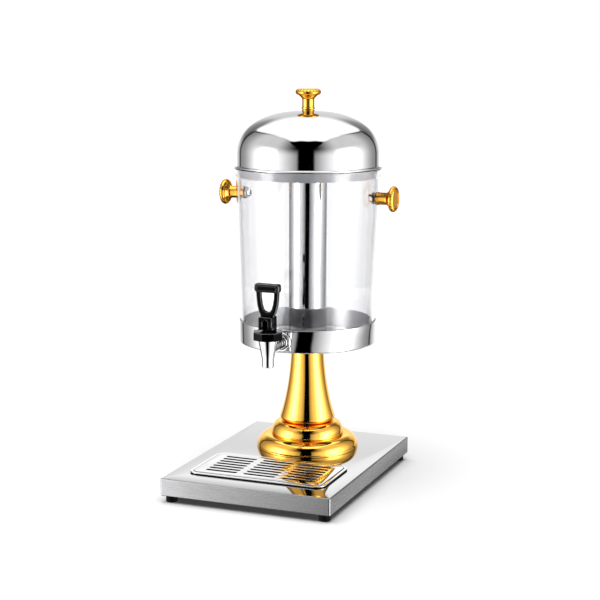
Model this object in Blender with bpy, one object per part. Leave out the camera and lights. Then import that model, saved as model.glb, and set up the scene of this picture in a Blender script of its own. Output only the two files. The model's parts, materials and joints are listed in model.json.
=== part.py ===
"""A buffet juice dispenser: a steel base with a drip tray, a turned gold column, a clear tank in a
steel pan with an ice tube in its middle, a domed lid and a tilt-handle tap.

Metres, +Z up, the tap faces -Y. The origin is on the counter, under the centre of the whole dispenser.
"""

import math

import bmesh
import bpy
import numpy as np
from mathutils import Matrix, Vector

# Gap left between pieces that touch, and running room round pins, rods and screws
CLEARANCE = 0.0003
RUNNING = 0.0004

# Facets of wide, middling and small round pieces
WIDE = 36
MIDDLE = 24
SMALL = 12

# Base: a folded sheet box, open below, with a lip turned in that carries the feet
BASE_WIDTH = 0.260
BASE_DEPTH = 0.350
BASE_HEIGHT = 0.026
BASE_SHEET = 0.0015
BASE_LIP = 0.024
BASE_EDGE_RADIUS = 0.002
BACKING_SIDE = 0.120
BACKING_THICKNESS = 0.002

# Feet with their screws and nuts
FOOT_HEIGHT = 0.010
FOOT_RADIUS = 0.0085
FOOT_INSET = 0.0125
FOOT_SCREW_RADIUS = 0.002
FOOT_SCREW_HEAD_RADIUS = 0.0038
FOOT_SCREW_HEAD_HEIGHT = 0.0024
FOOT_SCREW_RECESS = 0.0045
FOOT_SCREW_REACH = 0.006
FOOT_NUT_ACROSS = 0.007
FOOT_NUT_HEIGHT = 0.0032

# Where the column stands behind the base's centre, and how far the tap stands out from the pan
COLUMN_SET_BACK = 0.0717
TAP_REACH = 0.052

# Drip tray and its slotted grille
TRAY_WIDTH = 0.211
TRAY_DEPTH = 0.115
TRAY_BEHIND_TAP = 0.003
TRAY_CORNER = 0.016
TRAY_FLANGE = 0.005
TRAY_SHEET = 0.0012
TRAY_RISE = 0.0028
TRAY_LEDGE_DEPTH = 0.005
TRAY_LEDGE = 0.004
TRAY_HOLLOW = 0.018
GRILLE_SHEET = 0.0015
GRILLE_PLAY = 0.0008
GRILLE_RISE = 0.0005
SLOT_ROWS = 7
SLOT_COLUMNS = 3
SLOT_LENGTH = 0.0486
SLOT_WIDTH = 0.0055
SLOT_ROW_PITCH = 0.0121
SLOT_COLUMN_PITCH = 0.0592

# Column: a foot ring, a mid ring and a flared neck, hollow, drawn together by a tie rod
COLUMN_WALL = 0.0025
FOOT_RING_RADIUS = 0.0778
FOOT_RING_HEIGHT = 0.017
FOOT_RING_BULGE = 0.018
FOOT_RING_ROUND = 0.016
MID_RING_RADIUS = 0.0555
MID_RING_HEIGHT = 0.024
MID_RING_BULGE = 0.0145
MID_RING_ROUND = 0.0165
NECK_FOOT_RADIUS = 0.0418
NECK_TOP_RADIUS = 0.0248
NECK_FOOT_ROUND = 0.0065
NECK_HEIGHT = 0.124
TIE_ROD_RADIUS = 0.005
TIE_ROD_SPARE = 0.004
TIE_ROD_END_PLAY = 0.001
TIE_NUT_ACROSS = 0.017
TIE_NUT_HEIGHT = 0.008
TIE_WASHER_RADIUS = 0.015
TIE_WASHER_THICKNESS = 0.0016

# Pan under the tank
PAN_RADIUS = 0.1042
PAN_HEIGHT = 0.034
PAN_SHEET = 0.0012
PAN_ROUND = 0.003

# Clear tank: a drafted bucket with a flared mouth, standing in the pan on a thin ring
TANK_FOOT_RADIUS = 0.1015
TANK_HEIGHT = 0.2621
TANK_DRAFT = 0.0285
TANK_WALL = 0.0045
TANK_FLOOR = 0.003
TANK_ROUND = 0.003
TANK_MOUTH_FLARE = 0.0024
TANK_MOUTH_HEIGHT = 0.0137
TANK_EDGE = 0.0012
TANK_SEAT_RADIUS = 0.097
TANK_SEAT_WIDTH = 0.014
TANK_SEAT_THICKNESS = 0.0008

# Ice tube with a blind boss in its floor for the tie rod, and its seal
TUBE_RADIUS = 0.0294
TUBE_HEIGHT = 0.2463
TUBE_SHEET = 0.0012
TUBE_RIM = 0.0012
TUBE_BOSS_RADIUS = 0.009
TUBE_BOSS_HEIGHT = 0.016
TUBE_BOSS_CROWN = 0.003
TUBE_SEAL_RADIUS = 0.026
TUBE_SEAL_THICKNESS = 0.002

# Lid: a spun dome with a rolled edge, and a skirt inside that finds the tank's mouth
LID_RADIUS = 0.1076
LID_EDGE_RADIUS = 0.112
LID_ROLL = 0.0015
LID_SHEET = 0.0012
LID_WALL_HEIGHT = 0.018
LID_DOME_RISE = 0.067
LID_DOME_POWER = 2.3
LID_SKIRT_DROP = 0.0135
LID_SKIRT_RISE = 0.004
LID_SKIRT_SHEET = 0.001
LID_SKIRT_PLAY = 0.0008

# One turned knob, used on the lid and on both sides of the tank
KNOB_LENGTH = 0.0300
KNOB_HEAD_RADIUS = 0.019
KNOB_HEAD_DEPTH = 0.0086
KNOB_NECK_RADIUS = 0.009
KNOB_NECK_LENGTH = 0.0155
KNOB_FOOT_RADIUS = 0.0097
KNOB_FACE_RADIUS = 0.0142
KNOB_FACE_SINK = 0.0012
KNOB_FLUTES = 16
KNOB_FLUTE_DEPTH = 0.0009
KNOB_STUD_RADIUS = 0.003
KNOB_STUD_SPARE = 0.0025
KNOB_WASHER_RADIUS = 0.009
KNOB_WASHER_THICKNESS = 0.0015
KNOB_SEAL_THICKNESS = 0.0008
KNOB_NUT_ACROSS = 0.010
KNOB_NUT_HEIGHT = 0.005
SIDE_KNOB_BELOW_TANK_RIM = 0.0427

# Tap body: a tapered spout with a valve chamber, and a shank through the pan and the tank
TAP_AXIS_ABOVE_PAN = 0.017
SPOUT_RADIUS = 0.00875
SPOUT_BORE_RADIUS = 0.0056
SPOUT_BELOW_SHANK = 0.027
SPOUT_STRAIGHT = 0.013
SPOUT_LIP = 0.002
TAP_SHOULDER_RADIUS = 0.01425
TAP_SHOULDER_ABOVE_SHANK = 0.014
TAP_THREAD_RADIUS = 0.0150
TAP_THREAD_HEIGHT = 0.008
CHAMBER_RADIUS = 0.0084
SEAT_BELOW_SHANK = 0.006
SEAT_CHAMFER = 0.0012
SHANK_RADIUS = 0.008
SHANK_BORE_RADIUS = 0.005
SHANK_SPARE = 0.003
ESCUTCHEON_RADIUS = 0.0147
ESCUTCHEON_DEPTH = 0.0055
TAP_SEAL_RADIUS = 0.0118
TAP_SEAL_THICKNESS = 0.002
TAP_INNER_SEAL_RADIUS = 0.0105
TAP_INNER_SEAL_THICKNESS = 0.003
LOCK_NUT_ACROSS = 0.021
LOCK_NUT_HEIGHT = 0.007

# Tap valve: bonnet, stem seal, stem, seat cup, spring and pin
BONNET_ACROSS = 0.0413
BONNET_SIDES = 8
BONNET_HEIGHT = 0.012
BONNET_CHAMFER = 0.0012
STEM_RADIUS = 0.0034
STEM_HEAD = 0.0042
STEM_TIP_RADIUS = 0.0022
STEM_TIP_LENGTH = 0.005
CUP_RADIUS = 0.0074
CUP_HEIGHT = 0.0078
STEM_SEAL_RADIUS = 0.0070
STEM_SEAL_THICKNESS = 0.0022
SPRING_RADIUS = 0.0052
SPRING_WIRE = 0.0011
SPRING_ACTIVE_TURNS = 4
SPRING_POINTS_PER_TURN = 10
PIN_RADIUS = 0.0015
PIN_ABOVE_BONNET = 0.0078

# Tap handle: a yoke with a cam foot, and a finger loop with a grip bar on top
CAM_RADIUS = 0.0045
CAM_SWEEP_DEGREES = 52.0
YOKE_WIDTH = 0.0208
YOKE_BACK = 0.0092
YOKE_RISE = 0.0142
YOKE_ROUND = 0.0018
YOKE_SLOT_HEIGHT = 0.0097
YOKE_SLOT_PLAY = 0.0006
YOKE_SLOT_BACK = 0.0054
LOOP_DEPTH = 0.0065
LOOP_FOOT_WIDTH = 0.0204
LOOP_TOP_WIDTH = 0.0356
LOOP_EDGE = 0.0012
EYE_TOP_WIDTH = 0.0239
EYE_BOTTOM_RADIUS = 0.008
EYE_ABOVE_PIN = 0.0192
EYE_HEIGHT = 0.029
EYE_CORNER = 0.003
BAR_WIDTH = 0.0400
BAR_DEPTH = 0.0135
BAR_HEIGHT = 0.0133
BAR_FLAT = 0.0056
BAR_END = 0.005

# Plan places worked out from the sizes above
BACK_REACH = max(BASE_DEPTH / 2, COLUMN_SET_BACK + LID_EDGE_RADIUS)
BASE_Y = (BASE_DEPTH / 2 - BACK_REACH) / 2
AXIS_Y = BASE_Y + COLUMN_SET_BACK
RING_FACE_Y = AXIS_Y - PAN_RADIUS
TAP_Y = RING_FACE_Y - TAP_REACH
TRAY_Y = TAP_Y + TRAY_BEHIND_TAP

# Heights worked out from the sizes above
BASE_TOP = FOOT_HEIGHT + BASE_HEIGHT
MID_RING_Z = BASE_TOP + FOOT_RING_HEIGHT
NECK_Z = MID_RING_Z + MID_RING_HEIGHT
PAN_Z = NECK_Z + NECK_HEIGHT
PAN_FLOOR_Z = PAN_Z + PAN_SHEET
TANK_Z = PAN_FLOOR_Z + TANK_SEAT_THICKNESS + 2 * CLEARANCE
TANK_FLOOR_Z = TANK_Z + TANK_FLOOR
TANK_TOP_Z = TANK_Z + TANK_HEIGHT
TUBE_Z = TANK_FLOOR_Z + TUBE_SEAL_THICKNESS + 2 * CLEARANCE
TUBE_FLOOR_Z = TUBE_Z + TUBE_SHEET
TUBE_BOSS_Z = TUBE_Z + TUBE_BOSS_HEIGHT
LID_Z = TANK_TOP_Z + CLEARANCE
DOME_Z = LID_Z + LID_WALL_HEIGHT
LID_TOP_Z = DOME_Z + LID_DOME_RISE
SIDE_KNOB_Z = TANK_TOP_Z - SIDE_KNOB_BELOW_TANK_RIM
SHANK_Z = PAN_Z + TAP_AXIS_ABOVE_PAN
SEAT_Z = SHANK_Z - SEAT_BELOW_SHANK
TAP_SHOULDER_Z = SHANK_Z + TAP_SHOULDER_ABOVE_SHANK
TAP_THREAD_TOP_Z = TAP_SHOULDER_Z + CLEARANCE + TAP_THREAD_HEIGHT
BONNET_TOP_Z = TAP_SHOULDER_Z + BONNET_HEIGHT
BONNET_CEILING_Z = TAP_THREAD_TOP_Z + CLEARANCE
PIN_Z = BONNET_TOP_Z + PIN_ABOVE_BONNET
CUP_TOP_Z = SEAT_Z + CLEARANCE + CUP_HEIGHT
BACKING_Z = BASE_TOP - BASE_SHEET - CLEARANCE - BACKING_THICKNESS
TIE_WASHER_Z = BACKING_Z - CLEARANCE - TIE_WASHER_THICKNESS
TIE_NUT_Z = TIE_WASHER_Z - CLEARANCE - TIE_NUT_HEIGHT

# Colour, roughness and metallic value of each finish
FINISHES = {
    "polished steel": ((0.80, 0.80, 0.81), 0.08, 1.0),
    "brushed steel": ((0.60, 0.60, 0.61), 0.32, 1.0),
    "gold plate": ((0.95, 0.62, 0.14), 0.10, 1.0),
    "chrome": ((0.86, 0.86, 0.88), 0.05, 1.0),
    "clear polycarbonate": ((0.92, 0.94, 0.95), 0.05, 0.0),
    "black nylon": ((0.012, 0.012, 0.013), 0.34, 0.0),
    "black rubber": ((0.016, 0.016, 0.016), 0.75, 0.0),
    "white silicone": ((0.82, 0.82, 0.80), 0.50, 0.0),
    "zinc steel": ((0.55, 0.56, 0.58), 0.40, 1.0),
}


def clear_scene():
    for obj in list(bpy.data.objects):
        bpy.data.objects.remove(obj, do_unlink=True)


def material_for(piece, finish):
    """The piece's own Principled material in one of the finishes."""
    colour, roughness, metallic = FINISHES[finish]
    material = bpy.data.materials.new(f"{piece} {finish}")
    material.use_nodes = True
    shader = material.node_tree.nodes["Principled BSDF"]
    shader.inputs["Base Color"].default_value = (*colour, 1.0)
    shader.inputs["Roughness"].default_value = roughness
    shader.inputs["Metallic"].default_value = metallic
    if finish == "clear polycarbonate":
        shader.inputs["Transmission Weight"].default_value = 1.0
    return material


def group(name, location):
    """An empty that carries the pieces of one moving body, on that body's joint axis."""
    empty = bpy.data.objects.new(name, None)
    bpy.context.scene.collection.objects.link(empty)
    empty.location = location
    return empty


def add(name, bm, finish=None, parent=None, location=(0, 0, 0), rotation=(0, 0, 0)):
    """Turns a bmesh into an object. A piece with no finish is a cutter or helper, kept out of renders."""
    bmesh.ops.recalc_face_normals(bm, faces=bm.faces)
    mesh = bpy.data.meshes.new(name)
    bm.to_mesh(mesh)
    bm.free()
    mesh.shade_smooth()
    mesh.set_sharp_from_angle(angle=math.radians(32))
    obj = bpy.data.objects.new(name, mesh)
    bpy.context.scene.collection.objects.link(obj)
    obj.parent = parent
    obj.location = location
    obj.rotation_euler = rotation
    if finish is None:
        obj.hide_render = True
        obj.display_type = "WIRE"
    else:
        mesh.materials.append(material_for(name, finish))
    return obj


def combine(obj, tool, operation="DIFFERENCE"):
    """A Boolean of one object with a helper object."""
    modifier = obj.modifiers.new(f"{operation.lower()} {tool.name}", "BOOLEAN")
    modifier.operation = operation
    modifier.object = tool
    modifier.solver = "EXACT"


def spun(profile, segments):
    """A bmesh spun about Z from (radius, height) points: a closed loop, or a line from axis to axis."""
    bm = bmesh.new()
    verts = [bm.verts.new((radius, 0, height)) for radius, height in profile]
    pairs = list(zip(verts, verts[1:]))
    if profile[0][0] > 0:
        pairs.append((verts[-1], verts[0]))
    edges = [bm.edges.new(pair) for pair in pairs]
    bmesh.ops.spin(bm, geom=verts + edges, axis=(0, 0, 1), cent=(0, 0, 0), angle=2 * math.pi,
                   steps=segments, use_merge=True)
    bmesh.ops.remove_doubles(bm, verts=bm.verts, dist=1e-7)
    return bm


def arc(centre, radii, start, end, steps):
    """(radius, height) points on an elliptic arc, from the start to the end angle in degrees."""
    angles = np.radians(np.linspace(start, end, steps + 1))
    return [(centre[0] + radii[0] * math.cos(a), centre[1] + radii[1] * math.sin(a)) for a in angles]


def bezier(p0, p1, p2, p3, steps):
    """Points along a cubic curve."""
    p0, p1, p2, p3 = map(np.array, (p0, p1, p2, p3))
    points = []
    for t in np.linspace(0, 1, steps + 1):
        s = 1 - t
        points.append(tuple(s**3 * p0 + 3 * s * s * t * p1 + 3 * s * t * t * p2 + t**3 * p3))
    return points


def ring_profile(inner, outer, low, high):
    """The square section of a plain ring."""
    return [(inner, low), (outer, low), (outer, high), (inner, high)]


def rod_profile(radius, low, high):
    """A plain round rod, from axis to axis."""
    return [(0, low), (radius, low), (radius, high), (0, high)]


def lofted(rings, capped):
    """A bmesh through rings of as many points: capped at both ends, or closed back on its first ring."""
    bm = bmesh.new()
    loops = [[bm.verts.new(point) for point in ring] for ring in rings]
    steps = list(zip(loops, loops[1:]))
    if capped:
        bm.faces.new(loops[0])
        bm.faces.new(loops[-1])
    else:
        steps.append((loops[-1], loops[0]))
    count = len(loops[0])
    for low, high in steps:
        for i in range(count):
            j = (i + 1) % count
            bm.faces.new((low[i], low[j], high[j], high[i]))
    return bm


def rounded_rectangle(width, depth, corner, height, steps=4):
    """A level ring of points: a rectangle with round corners about the origin."""
    points = []
    for turn in range(4):
        sx, sy = ((1, 1), (-1, 1), (-1, -1), (1, -1))[turn]
        centre = (sx * (width / 2 - corner), sy * (depth / 2 - corner))
        for x, y in arc(centre, (corner, corner), 90 * turn, 90 * turn + 90, steps):
            points.append(Vector((x, y, height)))
    return points


def circle_ring(radius, height, count, turn=0.0):
    angles = [turn + 2 * math.pi * i / count for i in range(count)]
    return [Vector((radius * math.cos(a), radius * math.sin(a), height)) for a in angles]


def polygon_ring(sides, across, height, count, turn=0.0):
    """A level ring on a regular polygon, measured across its flats. The count is a multiple of the sides."""
    points = []
    for i in range(count):
        angle = 2 * math.pi * i / count
        off_flat = angle % (2 * math.pi / sides) - math.pi / sides
        radius = across / 2 / math.cos(off_flat)
        points.append(Vector((radius * math.cos(angle + turn), radius * math.sin(angle + turn), height)))
    return points


def nut(across, bore, low, high, sides=6, count=12):
    """A bmesh of a plain nut with a through bore."""
    return lofted([
        polygon_ring(sides, across, low, count),
        polygon_ring(sides, across, high, count),
        circle_ring(bore, high, count),
        circle_ring(bore, low, count),
    ], capped=False)


def box(size, centre):
    bm = bmesh.new()
    bmesh.ops.create_cube(bm, size=1, matrix=Matrix.Translation(centre) @ Matrix.Diagonal((*size, 1)))
    return bm


def prism(outline, depth):
    """A bmesh of a flat outline of (x, y) points, extruded to both sides of its plane along Z."""
    low = [Vector((x, y, -depth / 2)) for x, y in outline]
    high = [Vector((x, y, depth / 2)) for x, y in outline]
    return lofted([low, high], capped=True)


def bevel_edges(bm, width, segments, keep=lambda edge: True):
    edges = [edge for edge in bm.edges if keep(edge)]
    bmesh.ops.bevel(bm, geom=edges, offset=width, segments=segments, profile=0.5, affect="EDGES",
                    clamp_overlap=True)


def foot_places():
    x = BASE_WIDTH / 2 - FOOT_INSET
    y = BASE_DEPTH / 2 - FOOT_INSET
    return {
        "front_left": (-x, BASE_Y - y),
        "front_right": (x, BASE_Y - y),
        "back_left": (-x, BASE_Y + y),
        "back_right": (x, BASE_Y + y),
    }


def tank_radius(height):
    """Outside radius of the tank's drafted wall at a height above the counter."""
    return TANK_FOOT_RADIUS + TANK_DRAFT * (height - TANK_Z)


def tray_opening():
    """Width, depth and corner of the tray's inside, within its flange."""
    return TRAY_WIDTH - 2 * TRAY_FLANGE, TRAY_DEPTH - 2 * TRAY_FLANGE, TRAY_CORNER - TRAY_FLANGE


def base_shell(stand):
    middle = Vector((0, BASE_Y, FOOT_HEIGHT + BASE_HEIGHT / 2))
    bm = box((BASE_WIDTH, BASE_DEPTH, BASE_HEIGHT), (0, 0, 0))
    bevel_edges(bm, BASE_EDGE_RADIUS, 2)
    shell = add("base_shell", bm, "brushed steel", stand, middle)

    inside = (BASE_WIDTH - 2 * BASE_SHEET, BASE_DEPTH - 2 * BASE_SHEET, BASE_HEIGHT - 2 * BASE_SHEET)
    combine(shell, add("cut_base_inside", box(inside, middle)))
    mouth = (BASE_WIDTH - 2 * BASE_LIP, BASE_DEPTH - 2 * BASE_LIP, BASE_HEIGHT)
    combine(shell, add("cut_base_mouth", box(mouth, middle - Vector((0, 0, BASE_HEIGHT / 2)))))

    width, depth, corner = tray_opening()
    hole = [rounded_rectangle(width + TRAY_FLANGE, depth + TRAY_FLANGE, corner + TRAY_FLANGE / 2, z)
            for z in (BASE_TOP - 4 * BASE_SHEET, BASE_TOP + 4 * BASE_SHEET)]
    combine(shell, add("cut_tray_hole", lofted(hole, capped=True), location=(0, TRAY_Y, 0)))

    rod_hole = rod_profile(TIE_ROD_RADIUS + RUNNING, BASE_TOP - 4 * BASE_SHEET, BASE_TOP + 4 * BASE_SHEET)
    combine(shell, add("cut_tie_rod_hole", spun(rod_hole, SMALL), location=(0, AXIS_Y, 0)))
    for corner_name, (x, y) in foot_places().items():
        screw_hole = rod_profile(FOOT_SCREW_RADIUS + RUNNING, FOOT_HEIGHT - 2 * BASE_SHEET,
                                 FOOT_HEIGHT + 3 * BASE_SHEET)
        combine(shell, add(f"cut_screw_hole_{corner_name}", spun(screw_hole, SMALL), location=(x, y, 0)))


def base_backing_plate(stand):
    """A square plate that spreads the column's pull under the top sheet."""
    rings = [rounded_rectangle(BACKING_SIDE, BACKING_SIDE, BACKING_SIDE / 12, z, steps=2)
             for z in (BACKING_Z, BACKING_Z + BACKING_THICKNESS)]
    plate = add("base_backing_plate", lofted(rings, capped=True), "zinc steel", stand, (0, AXIS_Y, 0))
    hole = rod_profile(TIE_ROD_RADIUS + RUNNING, BACKING_Z - BACKING_THICKNESS,
                       BACKING_Z + 2 * BACKING_THICKNESS)
    combine(plate, add("cut_backing_hole", spun(hole, SMALL), location=(0, AXIS_Y, 0)))


def feet(stand):
    """Rubber feet, each held under the lip by a screw from below and a nut inside."""
    bore = FOOT_SCREW_RADIUS + RUNNING
    recess = FOOT_SCREW_HEAD_RADIUS + RUNNING
    top = FOOT_HEIGHT - CLEARANCE
    foot = [(bore, top), (FOOT_RADIUS, top), (FOOT_RADIUS, top - 0.2 * FOOT_HEIGHT),
            (0.88 * FOOT_RADIUS, 0.08 * FOOT_HEIGHT), (0.82 * FOOT_RADIUS, 0), (recess, 0),
            (recess, FOOT_SCREW_RECESS), (bore, FOOT_SCREW_RECESS)]
    head_top = FOOT_SCREW_RECESS - CLEARANCE
    head_low = head_top - FOOT_SCREW_HEAD_HEIGHT
    tip = FOOT_HEIGHT + BASE_SHEET + FOOT_SCREW_REACH
    nut_low = FOOT_HEIGHT + BASE_SHEET + CLEARANCE
    screw = [(0, head_low), (0.6 * FOOT_SCREW_HEAD_RADIUS, head_low),
             (FOOT_SCREW_HEAD_RADIUS, head_low + 0.5 * FOOT_SCREW_HEAD_HEIGHT),
             (FOOT_SCREW_HEAD_RADIUS, head_top), (FOOT_SCREW_RADIUS, head_top),
             (FOOT_SCREW_RADIUS, tip - FOOT_SCREW_RADIUS), (0, tip)]
    for corner_name, (x, y) in foot_places().items():
        add(f"foot_{corner_name}", spun(foot, SMALL), "black rubber", stand, (x, y, 0))
        add(f"foot_screw_{corner_name}", spun(screw, SMALL), "zinc steel", stand, (x, y, 0))
        add(f"foot_nut_{corner_name}", nut(FOOT_NUT_ACROSS, bore, nut_low, nut_low + FOOT_NUT_HEIGHT),
            "zinc steel", stand, (x, y, 0))


def drip_tray(tray):
    """A pressed pan that hangs in the base by its flange, with a ledge inside for the grille."""
    width, depth, corner = tray_opening()
    flange_top = TRAY_RISE
    flange_low = CLEARANCE
    ledge = flange_top - TRAY_LEDGE_DEPTH
    floor = -TRAY_HOLLOW

    def level(inset, height):
        """A ring set in from the opening's edge, or out from it where the inset is negative."""
        return rounded_rectangle(width - 2 * inset, depth - 2 * inset,
                                 max(corner - inset, TRAY_SHEET), height)

    rings = [
        level(TRAY_LEDGE + 1.5 * TRAY_SHEET, floor - TRAY_SHEET),
        level(TRAY_LEDGE - TRAY_SHEET, floor + TRAY_SHEET),
        level(TRAY_LEDGE - TRAY_SHEET, ledge - TRAY_SHEET),
        level(-TRAY_SHEET, ledge - TRAY_SHEET),
        level(-TRAY_SHEET, flange_top - TRAY_SHEET),
        level(TRAY_SHEET - TRAY_FLANGE, flange_top - TRAY_SHEET),
        level(TRAY_SHEET - TRAY_FLANGE, flange_low),
        level(-TRAY_FLANGE, flange_low),
        level(-TRAY_FLANGE, flange_top - TRAY_SHEET),
        level(0.8 * TRAY_SHEET - TRAY_FLANGE, flange_top),
        level(0, flange_top),
        level(0, ledge),
        level(TRAY_LEDGE, ledge),
        level(TRAY_LEDGE, floor + 2 * TRAY_SHEET),
        level(TRAY_LEDGE + 2 * TRAY_SHEET, floor),
    ]
    add("drip_tray", lofted(rings, capped=True), "polished steel", tray)


def drip_grille(grille):
    """A slotted plate with a turned-down rim that stands on the tray's ledge."""
    width, depth, corner = tray_opening()
    top = TRAY_RISE + GRILLE_RISE
    low = TRAY_RISE - TRAY_LEDGE_DEPTH + CLEARANCE

    def level(inset, height):
        inset += GRILLE_PLAY
        return rounded_rectangle(width - 2 * inset, depth - 2 * inset,
                                 max(corner - inset, GRILLE_SHEET), height)

    rings = [level(GRILLE_SHEET, top - GRILLE_SHEET), level(GRILLE_SHEET, low), level(0, low),
             level(0, top - 0.7 * GRILLE_SHEET), level(0.7 * GRILLE_SHEET, top)]
    plate = add("drip_grille", lofted(rings, capped=True), "polished steel", grille)

    end = SLOT_WIDTH / 2
    reach = SLOT_LENGTH / 2 - end
    slot = arc((reach, 0), (end, end), -90, 90, 4) + arc((-reach, 0), (end, end), 90, 270, 4)
    cutter = bmesh.new()
    for row in range(SLOT_ROWS):
        for column in range(SLOT_COLUMNS):
            place = Matrix.Translation((
                SLOT_COLUMN_PITCH * (column - (SLOT_COLUMNS - 1) / 2),
                SLOT_ROW_PITCH * (row - (SLOT_ROWS - 1) / 2),
                top - GRILLE_SHEET / 2,
            ))
            one = prism(slot, 3 * GRILLE_SHEET)
            one.transform(place)
            mesh = bpy.data.meshes.new("slot")
            one.to_mesh(mesh)
            one.free()
            cutter.from_mesh(mesh)
            bpy.data.meshes.remove(mesh)
    combine(plate, add("cut_slots", cutter, parent=grille))


def bulged_ring(low, high, radius, bulge, rise):
    """Section of a hollow column ring: an elliptic bulge outside, a level deck with the bore on top."""
    bore = TIE_ROD_RADIUS + RUNNING
    centre = (radius - bulge, high - rise)
    inner = (bulge - COLUMN_WALL, rise - COLUMN_WALL)

    def foot_angle(half_height):
        return math.degrees(math.asin(max(-1, min(1, (low - centre[1]) / half_height))))

    profile = arc(centre, (bulge, rise), foot_angle(rise), 90, 6)
    profile += [(bore, high), (bore, high - COLUMN_WALL)]
    return profile + arc(centre, inner, 90, foot_angle(inner[1]), 3)


def column(stand):
    """Foot ring, mid ring and neck: turned shells stacked on the base, one bore through all three."""
    bore = TIE_ROD_RADIUS + RUNNING
    place = (0, AXIS_Y, 0)
    foot_ring = bulged_ring(BASE_TOP + CLEARANCE, MID_RING_Z - CLEARANCE, FOOT_RING_RADIUS,
                            FOOT_RING_BULGE, FOOT_RING_ROUND)
    add("column_foot_ring", spun(foot_ring, WIDE), "gold plate", stand, place)
    mid_ring = bulged_ring(MID_RING_Z, NECK_Z - CLEARANCE, MID_RING_RADIUS, MID_RING_BULGE, MID_RING_ROUND)
    add("column_mid_ring", spun(mid_ring, WIDE), "gold plate", stand, place)

    low, high = NECK_Z, PAN_Z - CLEARANCE
    tall = high - low
    turn = NECK_FOOT_ROUND
    foot = arc((NECK_FOOT_RADIUS - turn, low + turn), (turn, turn), -90, 20, 3)
    waist = NECK_FOOT_RADIUS - 0.44 * (NECK_FOOT_RADIUS - NECK_TOP_RADIUS)
    flare = bezier(foot[-1], (waist, low + 0.24 * tall), (NECK_TOP_RADIUS, low + 0.59 * tall),
                   (NECK_TOP_RADIUS, high), 7)
    neck = foot[:-1] + flare
    neck += [(bore, high), (bore, high - 2 * COLUMN_WALL)]
    neck += [(radius - COLUMN_WALL, height) for radius, height in flare[-2::-2]]
    neck += [(NECK_FOOT_RADIUS - turn - COLUMN_WALL, low)]
    add("column_neck", spun(neck, WIDE), "gold plate", stand, place)


def tie_rod(stand):
    """The rod that draws tube, tank, pan, column and base together, with its washer and nut in the base."""
    place = (0, AXIS_Y, 0)
    low = TIE_NUT_Z - TIE_ROD_SPARE
    high = TUBE_BOSS_Z - TUBE_BOSS_CROWN - TIE_ROD_END_PLAY
    add("tie_rod", spun(rod_profile(TIE_ROD_RADIUS, low, high), SMALL), "zinc steel", stand, place)
    bore = TIE_ROD_RADIUS + RUNNING
    washer = ring_profile(bore, TIE_WASHER_RADIUS, TIE_WASHER_Z, TIE_WASHER_Z + TIE_WASHER_THICKNESS)
    add("tie_rod_washer", spun(washer, SMALL), "zinc steel", stand, place)
    add("tie_rod_nut", nut(TIE_NUT_ACROSS, bore, TIE_NUT_Z, TIE_NUT_Z + TIE_NUT_HEIGHT, count=18),
        "zinc steel", stand, place)


def tap_hole(name):
    """A cutter along the tap's shank, through the pan and the tank."""
    reach = TAP_REACH
    bm = spun(rod_profile(SHANK_RADIUS + RUNNING, -reach / 2, reach / 2), MIDDLE)
    return add(name, bm, location=(0, RING_FACE_Y, SHANK_Z), rotation=(math.pi / 2, 0, 0))


def bottom_pan(stand):
    """The steel pan that the tank stands in, with the tap's hole in its wall."""
    bore = TIE_ROD_RADIUS + RUNNING
    top = PAN_Z + PAN_HEIGHT
    outer = arc((PAN_RADIUS - PAN_ROUND, PAN_Z + PAN_ROUND), (PAN_ROUND, PAN_ROUND), -90, 0, 3)
    inner_round = PAN_ROUND - PAN_SHEET
    inner = arc((PAN_RADIUS - PAN_ROUND, PAN_Z + PAN_ROUND), (inner_round, inner_round), 0, -90, 2)
    profile = [(bore, PAN_Z)] + outer + [(PAN_RADIUS, top), (PAN_RADIUS - PAN_SHEET, top)]
    profile += inner + [(bore, PAN_FLOOR_Z)]
    pan = add("bottom_pan", spun(profile, WIDE), "brushed steel", stand, (0, AXIS_Y, 0))
    combine(pan, tap_hole("cut_pan_tap_hole"))


def tank(stand):
    """The clear tank on its seat ring. Its wall is pierced by the tap and by the two side knobs' studs."""
    place = (0, AXIS_Y, 0)
    bore = TIE_ROD_RADIUS + RUNNING
    seat_low = PAN_FLOOR_Z + CLEARANCE
    seat = ring_profile(TANK_SEAT_RADIUS - TANK_SEAT_WIDTH, TANK_SEAT_RADIUS, seat_low,
                        seat_low + TANK_SEAT_THICKNESS)
    add("tank_seat_ring", spun(seat, WIDE), "white silicone", stand, place)

    mouth = TANK_TOP_Z - TANK_MOUTH_HEIGHT
    lip = tank_radius(TANK_TOP_Z) + TANK_MOUTH_FLARE
    heel = tank_radius(TANK_Z + TANK_ROUND)
    profile = [(bore, TANK_Z)]
    profile += arc((heel - TANK_ROUND, TANK_Z + TANK_ROUND), (TANK_ROUND, TANK_ROUND), -90, 0, 2)
    profile += [
        (tank_radius(mouth), mouth),
        (lip, TANK_TOP_Z - TANK_EDGE),
        (lip - TANK_EDGE, TANK_TOP_Z),
        (lip - TANK_WALL + TANK_EDGE, TANK_TOP_Z),
        (lip - TANK_WALL, TANK_TOP_Z - TANK_EDGE),
        (tank_radius(mouth) - TANK_WALL, mouth),
        (tank_radius(TANK_FLOOR_Z) - TANK_WALL, TANK_FLOOR_Z),
        (bore, TANK_FLOOR_Z),
    ]
    bucket = add("tank", spun(profile, WIDE), "clear polycarbonate", stand, place)
    combine(bucket, tap_hole("cut_tank_tap_hole"))
    reach = 2 * tank_radius(TANK_TOP_Z)
    studs = spun(rod_profile(KNOB_STUD_RADIUS + RUNNING, -reach, reach), SMALL)
    combine(bucket, add("cut_tank_stud_holes", studs, location=(0, AXIS_Y, SIDE_KNOB_Z),
                        rotation=(0, math.pi / 2, 0)))


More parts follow.
